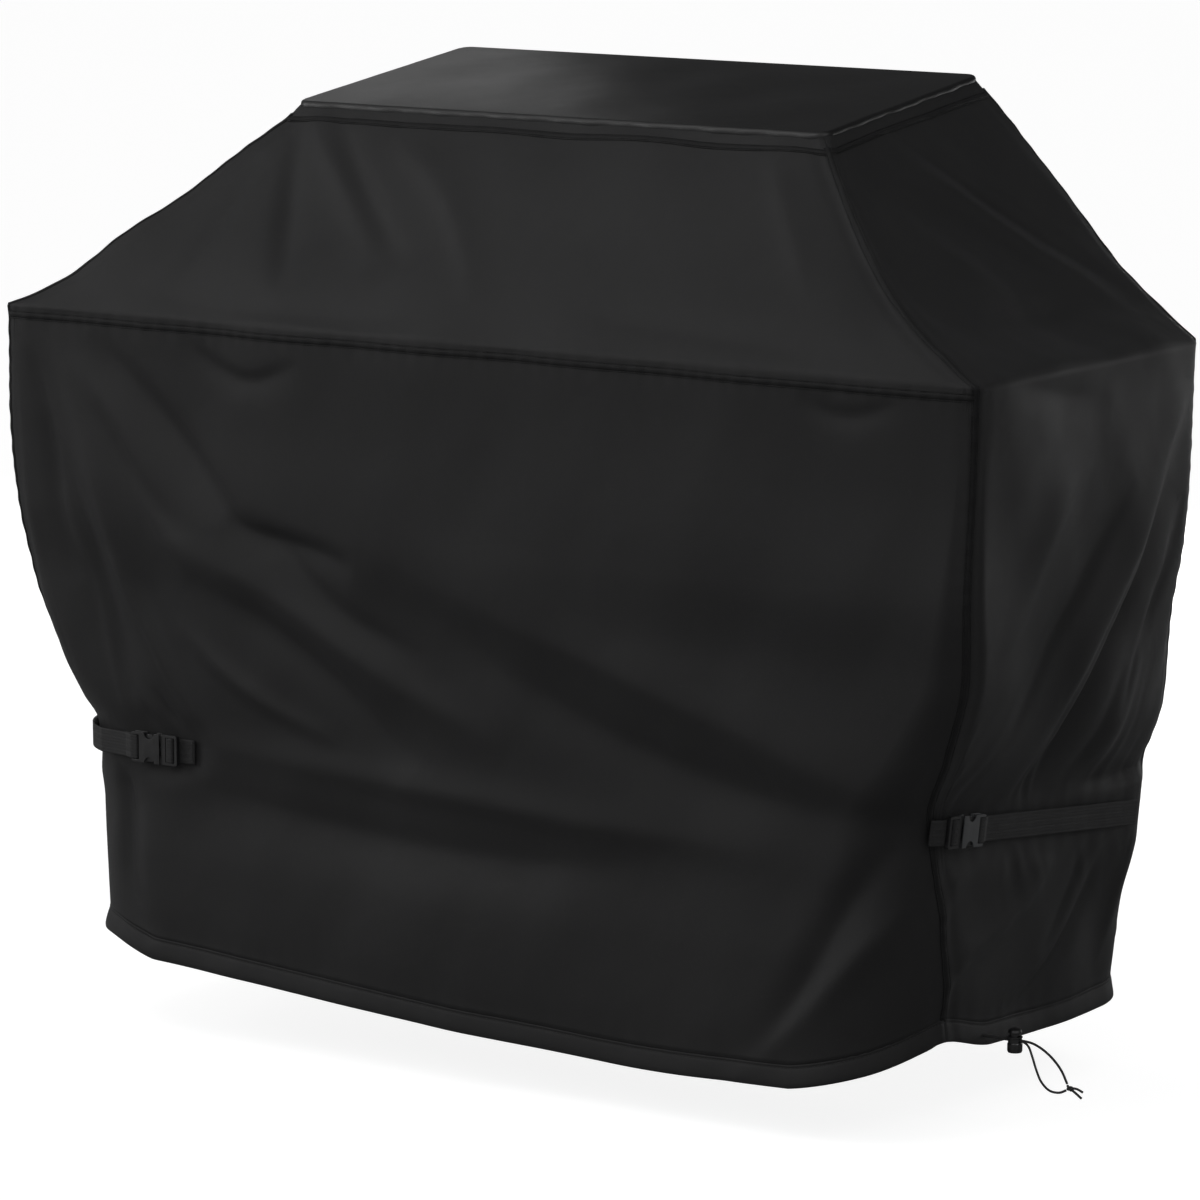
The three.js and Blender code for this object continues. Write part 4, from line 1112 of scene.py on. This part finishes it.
def hemPoints(place, inwards, rise):
    foot, out = hemStations(place)
    height = coverSizes["hemHeight"] + min(max(rise, 0), 26.5)
    level = np.full(place.shape, height)
    relief = clothRelief(level, place, baseFace(level, place), outward(level, place))
    at = foot + out * (relief - inwards)[:, None]
    at[:, 2] += rise
    return at


def hemChannel(name, first, last, node, s):
    places = evenPlaces(coverSizes["skirtTop"], first + clothSettings["hemInset"], last - clothSettings["hemInset"], s["step"])
    rings = np.stack([hemPoints(places, inwards, rise) for inwards, rise in s["section"]], 1)
    along = runLength(rings[None, :, 5], 1)[0]
    around = np.concatenate([[0], np.cumsum(np.linalg.norm(np.diff(s["section"], axis=0), axis=1))])
    uv = np.stack(np.meshgrid(along, around, indexing="ij"), -1) / 1000
    o = tubeObject(name, rings, uv)
    finishPiece(o, "root", "shell_cloth", shellFinish, node)
    stitchLines["hem"].append(hemPoints(places, *s["stitchAt"]))


seamAt = {k: float(f(coverSizes["skirtTop"])) for k, f in seamPlaces.items()}
for side, first, last in (
        ("front", seamAt["frontLeft"] - 8, seamAt["frontRight"]), ("right", seamAt["frontRight"], seamAt["backRight"]),
        ("back", seamAt["backRight"], seamAt["backLeft"]), ("left", seamAt["backLeft"], seamAt["frontLeft"])):
    hemChannel(side + "Hem", first, last, side + "_hem_channel", hemSettings)


def hemDrawcord(s):
    line = hemPoints(np.linspace(*s["hidden"], 620), *s["inHem"])
    return braidedCord("hemDrawcord", line, dict(s, sides=8, relief=0))


finishPiece(hemDrawcord(cordSettings), "root", "cord_braid", cordFinish, "hem_drawcord")
for piece, node in ((upperStrand, "cord_strand_upper"), (lowerStrand, "cord_strand_lower"), (knotPiece, "cord_knot")):
    finishPiece(piece, "root", "cord_braid", cordFinish, node)
print("hem made")

# ---- side straps ----
buckleFrames = {  # each buckle's directions as columns (along the strap, across it, off the face), and its middle
    "right": (np.array([
        (0.08502, 0.991992, -0.093396), (0.055913, 0.088838, 0.994476), (0.994809, -0.089773, -0.047913),
    ]).T, np.array((0.648865, -0.26486, -0.856614))),
    "left": (np.array([
        (-1, 0, 0.000001), (-0.000001, 0.019775, -0.999804), (0, -0.999804, -0.019775),
    ]).T, np.array((-0.480577, -0.382716, -0.860401))),
}
strapSettings = {
    "width": 32,
    "thick": 1.6,
    "tab": [(-19.8, -5.3), (-19.8, 3.9), (-9.8, 3.9), (-9.8, -1.5)],
    "tabLift": 6.6,
    "loop": [(62, -5.1), (47.5, -3.7), (37.2, -3.7), (37.2, 3.7), (47.5, 3.7), (60, -2.4)],
    "corner": 2.2,
    "leftPlaces": list(np.linspace(-0.3, -1, 9)) + list(np.linspace(-1.2, -1.9, 8)),
    "leftLift": 8.6,
    "anchorLift": 6.2,
    "boxStitch": (-46, -26, -5.3 + 0.8 + 0.2),  # from, to, and just over the tape
}


def roundedPath(points, radius, step=1.6):
    p = [np.asarray(q, float) for q in points]
    line = [p[0]]
    for a, b, c in zip(p[:-2], p[1:-1], p[2:]):
        before, after = np.linalg.norm(b - a), np.linalg.norm(c - b)
        r = min(radius, before * 0.45, after * 0.45)
        first, last = b + (a - b) * r / before, b + (c - b) * r / after
        line += [(1 - t) ** 2 * first + 2 * t * (1 - t) * b + t * t * last for t in np.linspace(0, 1, 5)]
    line.append(p[-1])
    dense = []
    for a, b in zip(line[:-1], line[1:]):
        n = max(int(np.linalg.norm(b - a) / (step * 3)), 1)
        dense += [a + (b - a) * k / n for k in range(n)]
    return np.array(dense + [line[-1]])


# Flat tape with soft selvedges, its path given along and off the face.
def webbingBand(name, path, frameAxes, s):
    axes, origin = frameAxes
    run = np.gradient(path, axis=0)
    run /= np.linalg.norm(run, axis=1)[:, None]
    normal = np.stack([-run[:, 1], run[:, 0]], 1)
    half, thick = s["width"] / 2, s["thick"] / 2
    across = np.array([-1, -0.98, -0.9, -0.6, -0.3, 0, 0.3, 0.6, 0.9, 0.98, 1]) * half
    over = np.array([0.35, 0.85, 1, 0.94, 1, 0.95, 1, 0.94, 1, 0.85, 0.35]) * thick
    section = [(w, h) for w, h in zip(across, over)] + [(w, -h) for w, h in zip(across[::-1], over[::-1])]
    rings = np.array([[(a[0] + n[0] * h, w, a[1] + n[1] * h) for w, h in section] for a, n in zip(path, normal)]) / 1000
    along = np.concatenate([[0], np.cumsum(np.linalg.norm(np.diff(path, axis=0), axis=1))])
    widths = np.array([w + half for w, h in section])
    uv = np.stack(np.broadcast_arrays(widths[None], along[:, None]), -1) / 1000
    return tubeObject(name, rings @ axes.T + origin, uv, metres=True)


def inFrame(points, frameAxes):
    axes, origin = frameAxes
    return (toRow(points) - origin) @ axes * 1000


def besideFace(height, places, lift, frameAxes):  # a run of tape round the cover, in a buckle's own frame
    heights, places = np.full(len(places), float(height)), np.asarray(places, float)
    raised = outerFace(heights, places) + outward(heights, places) * lift
    return [(p[0], p[2]) for p in inFrame(raised, frameAxes)]


def fromFrame(points, frameAxes):
    axes, origin = frameAxes
    return np.array(points) / 1000 @ axes.T + origin


def tapePiece(name, path, frameAxes, s, node):
    piece = webbingBand(name, roundedPath(path, s["corner"]), frameAxes, s)
    return finishPiece(piece, "root", "webbing", webbingFinish, node)


for side, frameAxes in buckleFrames.items():
    s = strapSettings
    if side == "right":
        length = float(np.linalg.norm(outerFace(352, 2.98) - outerFace(388, 2.05)))
        tabEnd = besideFace(390, np.linspace(1.78, 1.91, 4), s["tabLift"], frameAxes)
        onward = [(length - 6, -2.6), (length + 14, -2.6)]
        anchor = [(length - 30, -4.9), (length + 6, -4.9)]
    else:
        tabEnd = [(-50, -5.3)]
        onward = besideFace(382, s["leftPlaces"], s["leftLift"], frameAxes)
        anchor = besideFace(382, np.linspace(-1.86, -1.95, 3), s["anchorLift"], frameAxes)
    tapePiece(side + "StrapTab", tabEnd + s["tab"], frameAxes, s, side + "_strap_tab")
    strap = webbingBand(side + "LongStrap", roundedPath(s["loop"] + onward, s["corner"]), frameAxes, s)
    strap.data.materials.append(webbingFinish)
    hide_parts(side + "_long_strap")
    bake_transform(strap)
    tapePiece(side + "StrapAnchor", anchor, frameAxes, s, side + "_strap_anchor")
print("straps made")


# ---- moulded parts ----
def softenedCopy(name, node, width):  # the part with its edges rounded as a mould leaves them
    work = bmesh.new()
    work.from_mesh(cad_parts[node].data)
    bmesh.ops.remove_doubles(work, verts=work.verts, dist=2e-6)
    bmesh.ops.dissolve_limit(work, angle_limit=math.radians(1.0), verts=work.verts, edges=work.edges)
    edges = [e for e in work.edges if e.is_manifold and e.calc_face_angle(0) > math.radians(28)]
    bmesh.ops.bevel(work, geom=edges, offset=width, offset_type="OFFSET", segments=3, profile=0.6, affect="EDGES",
                    clamp_overlap=True)
    bmesh.ops.triangulate(work, faces=[f for f in work.faces if len(f.verts) > 4])
    mesh = bpy.data.meshes.new(name)
    work.to_mesh(mesh)
    work.free()
    mesh.polygons.foreach_set("use_smooth", [True] * len(mesh.polygons))
    mesh.set_sharp_from_angle(angle=math.radians(50))
    return newObject(name, mesh)


mouldedSettings = {  # name, body, slot, finish, how far its edges are rounded
    "right_buckle_plug": ("rightBucklePlug", "root", "buckle_plastic", buckleFinish, 0.0006),
    "left_buckle_plug": ("leftBucklePlug", "root", "buckle_plastic", buckleFinish, 0.0006),
    **{f"{side}_plug_prong_{arm}": (f"{side}Prong{arm.capitalize()}", f"{side}_{arm}_prong", "buckle_plastic", buckleFinish, 0.0005)
       for side in ("right", "left") for arm in ("upper", "lower")},
    "right_buckle_socket": ("rightBuckleSocket", "right_socket", "socket_plastic", socketFinish, 0.0007),
    "left_buckle_socket": ("leftBuckleSocket", "left_socket", "socket_plastic", buckleFinish, 0.0007),
    "cord_lock_barrel": ("cordLockBarrel", "lock_barrel", "lock_plastic", lockFinish, 0.0004),
    "cord_lock_button": ("cordLockButton", "lock_button", "lock_plastic", lockFinish, 0.0004),
}
for node, (name, body, slotName, material, width) in mouldedSettings.items():
    finishPiece(softenedCopy(name, node, width), body, slotName, material, node)
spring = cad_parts["cord_lock_spring"]
spring.data.materials.clear()
spring.data.materials.append(springFinish)
print("buckles and cord lock made")


# ---- stitches ----
stitchSettings = {
    "seam": {"pitch": 0.0052, "length": 0.0038, "thread": 0.00036},
    "hem": {"pitch": 0.0052, "length": 0.0038, "thread": 0.00036},
    "strap": {"pitch": 0.0038, "length": 0.0029, "thread": 0.00034},
}


def stitchTree():
    tree = bpy.data.node_groups.new("rowOfStitches", "GeometryNodeTree")
    tree.interface.new_socket("Geometry", in_out="INPUT", socket_type="NodeSocketGeometry")
    ids = {}
    for label in ("Pitch", "Stitch Length", "Thread Radius"):
        ids[label] = tree.interface.new_socket(label, in_out="INPUT", socket_type="NodeSocketFloat").identifier
    ids["Thread"] = tree.interface.new_socket("Thread", in_out="INPUT", socket_type="NodeSocketMaterial").identifier
    tree.interface.new_socket("Geometry", in_out="OUTPUT", socket_type="NodeSocketGeometry")
    given, made = tree.nodes.new("NodeGroupInput"), tree.nodes.new("NodeGroupOutput")
    curve = addNode(tree, "GeometryNodeMeshToCurve", Mesh=given.outputs["Geometry"])
    spaced = addNode(tree, "GeometryNodeResampleCurve", {"mode": "LENGTH"}, Curve=curve.outputs[0], Length=given.outputs["Pitch"])
    tangent = addNode(tree, "GeometryNodeInputTangent")
    turn = addNode(tree, "FunctionNodeAlignRotationToVector", {"axis": "X"}, Vector=tangent.outputs[0])
    bead = addNode(tree, "GeometryNodeMeshUVSphere", Segments=6, Rings=4, Radius=1.0)
    halfLength = mathNode(tree, "MULTIPLY", given.outputs["Stitch Length"], 0.5)
    size = addNode(tree, "ShaderNodeCombineXYZ", X=halfLength, Y=given.outputs["Thread Radius"], Z=given.outputs["Thread Radius"])
    stretched = addNode(tree, "GeometryNodeTransform", Geometry=bead.outputs[0], Scale=size.outputs[0])
    vary = addNode(tree, "FunctionNodeRandomValue", {"data_type": "FLOAT_VECTOR"})
    vary.inputs["Min"].default_value, vary.inputs["Max"].default_value = (0.9, 0.85, 0.85), (1.06, 1.12, 1.12)
    vary.inputs["Seed"].default_value = 5
    row = addNode(tree, "GeometryNodeInstanceOnPoints", Points=spaced.outputs[0], Instance=stretched.outputs[0],
                  Rotation=turn.outputs[0], Scale=vary.outputs["Value"])
    real = addNode(tree, "GeometryNodeRealizeInstances", Geometry=row.outputs[0])
    painted = addNode(tree, "GeometryNodeSetMaterial", Geometry=real.outputs[0], Material=given.outputs["Thread"])
    tree.links.new(painted.outputs[0], made.inputs[0])
    return tree, ids


def stitchedRows(name, lines, s, tree, ids, metres=False):
    points, edges, start = [], [], 0
    for line in lines:
        at = np.asarray(line, float) if metres else toRow(line)
        points += at.tolist()
        edges += [(start + k, start + k + 1) for k in range(len(at) - 1)]
        start += len(at)
    mesh = bpy.data.meshes.new(name + "Path")
    mesh.from_pydata(points, edges, [])
    o = newObject(name, mesh)
    rows = o.modifiers.new("rows", "NODES")
    rows.node_group = tree
    rows[ids["Pitch"]], rows[ids["Stitch Length"]], rows[ids["Thread Radius"]] = s["pitch"], s["length"], s["thread"]
    rows[ids["Thread"]] = threadFinish
    made = bpy.data.meshes.new_from_object(o.evaluated_get(bpy.context.evaluated_depsgraph_get()))
    o.modifiers.remove(rows)
    o.data = made
    made.name = name
    made.polygons.foreach_set("use_smooth", [True] * len(made.polygons))
    finishPiece(o, "root", "seam_tape", threadFinish)


rowTree, rowIds = stitchTree()
for kind, lines in stitchLines.items():
    stitchedRows(kind + "Stitches", lines, stitchSettings[kind], rowTree, rowIds)


def boxStitch(frameAxes, first, last, height):  # a crossed box sewn through the strap, off its face
    half = strapSettings["width"] / 2 - 4
    a, b, c, d = [(x, y, height) for x, y in ((first, -half), (last, -half), (last, half), (first, half))]
    runs = [(a, b), (b, c), (c, d), (d, a), (a, c), (b, d)]
    return [fromFrame(np.linspace(p, q, 20), frameAxes) for p, q in runs]


tabStitches = [run for frameAxes in buckleFrames.values() for run in boxStitch(frameAxes, *strapSettings["boxStitch"])]
stitchedRows("tabStitches", tabStitches, stitchSettings["strap"], rowTree, rowIds, True)
print("stitches made")

# ---- the top panel goes in with the other panels ----
panels["top"] = topPiece


# ---- floor and light ----
def stagePlane(name, size, z, material):
    mesh = bpy.data.meshes.new(name)
    mesh.from_pydata([(-size, -size, z), (size, -size, z), (size, size, z), (-size, size, z)], [], [(0, 1, 2, 3)])
    mesh.materials.append(material)
    newObject(name, mesh)


def softBox(name, place, aim, size, power):
    data = bpy.data.lights.new(name, "AREA")
    data.shape, data.size, data.size_y, data.energy = "RECTANGLE", size[0], size[1], power
    o = bpy.data.objects.new(name, data)
    o.location = place
    o.rotation_euler = (Vector(aim) - Vector(place)).to_track_quat("-Z", "Y").to_euler()
    o.visible_camera = False
    bpy.context.scene.collection.objects.link(o)


stageSettings = {"floor": 0.34, "floorSize": 90, "seenPale": 0.84, "front": 0.66, "behind": 0.05}


def seenPale(tree):  # pale to look at, without lighting the cover
    return share(tree, addNode(tree, "ShaderNodeLightPath").outputs["Is Camera Ray"], stageSettings["seenPale"])


paleFloor, floorTree, floorShader = newMaterial("paleFloor")
floorShader.inputs["Base Color"].default_value = (*[stageSettings["floor"]] * 3, 1)
floorShader.inputs["Roughness"].default_value = 0.85
floorShader.inputs["Specular IOR Level"].default_value = 0.1
floorShader.inputs["Emission Color"].default_value = (1, 1, 1, 1)
floorTree.links.new(seenPale(floorTree), floorShader.inputs["Emission Strength"])
stagePlane("floor", stageSettings["floorSize"], groundShift[2] / 1000, paleFloor)
lightSettings = {  # place, aim, size and power
    "overhead": ((-0.5, -2.3, 2.1), (0, -0.1, -0.5), (1.9, 1.3), 22),
    "frontLeft": ((-3.8, -2.4, 0.8), (0, -0.2, -0.6), (1.2, 1.8), 50),
    "right": ((3.6, -0.6, 2.2), (0.6, 0, -0.6), (1.2, 1.2), 15),
    "topCard": ((-1.12, 0.86, 0.46), (-0.38, 0.0, 0.0), (0.7, 0.55), 0.5),
    "behind": ((1.4, 4.2, -0.35), (0, 0.2, -0.6), (3.0, 1.2), 19),
    "backLeft": ((-1.9, 4.4, -0.45), (-0.1, 0.3, -0.6), (2.0, 0.9), 85),
}


def studioWorld(bright, dark):  # bright in front and overhead, dim behind
    world = bpy.data.worlds.new("studio")
    world.use_nodes = True
    tree = world.node_tree
    parts = addNode(tree, "ShaderNodeSeparateXYZ", i0=addNode(tree, "ShaderNodeTexCoord").outputs["Generated"])
    level = mathNode(tree, "SUBTRACT", parts.outputs[1], share(tree, parts.outputs[2], 0.08))
    glow = addNode(tree, "ShaderNodeMapRange", {"interpolation_type": "SMOOTHSTEP"}, i0=level, i1=-0.35, i2=0.5,
                   i3=bright, i4=dark)
    tree.nodes["Background"].inputs[0].default_value = (1, 1, 1, 1)
    strength = mathNode(tree, "MAXIMUM", glow.outputs[0], seenPale(tree))
    tree.links.new(strength, tree.nodes["Background"].inputs[1])
    bpy.context.scene.world = world


studioWorld(stageSettings["front"], stageSettings["behind"])
for name, given in lightSettings.items():
    softBox(name, *given)
bpy.context.scene.view_settings.view_transform = "Standard"
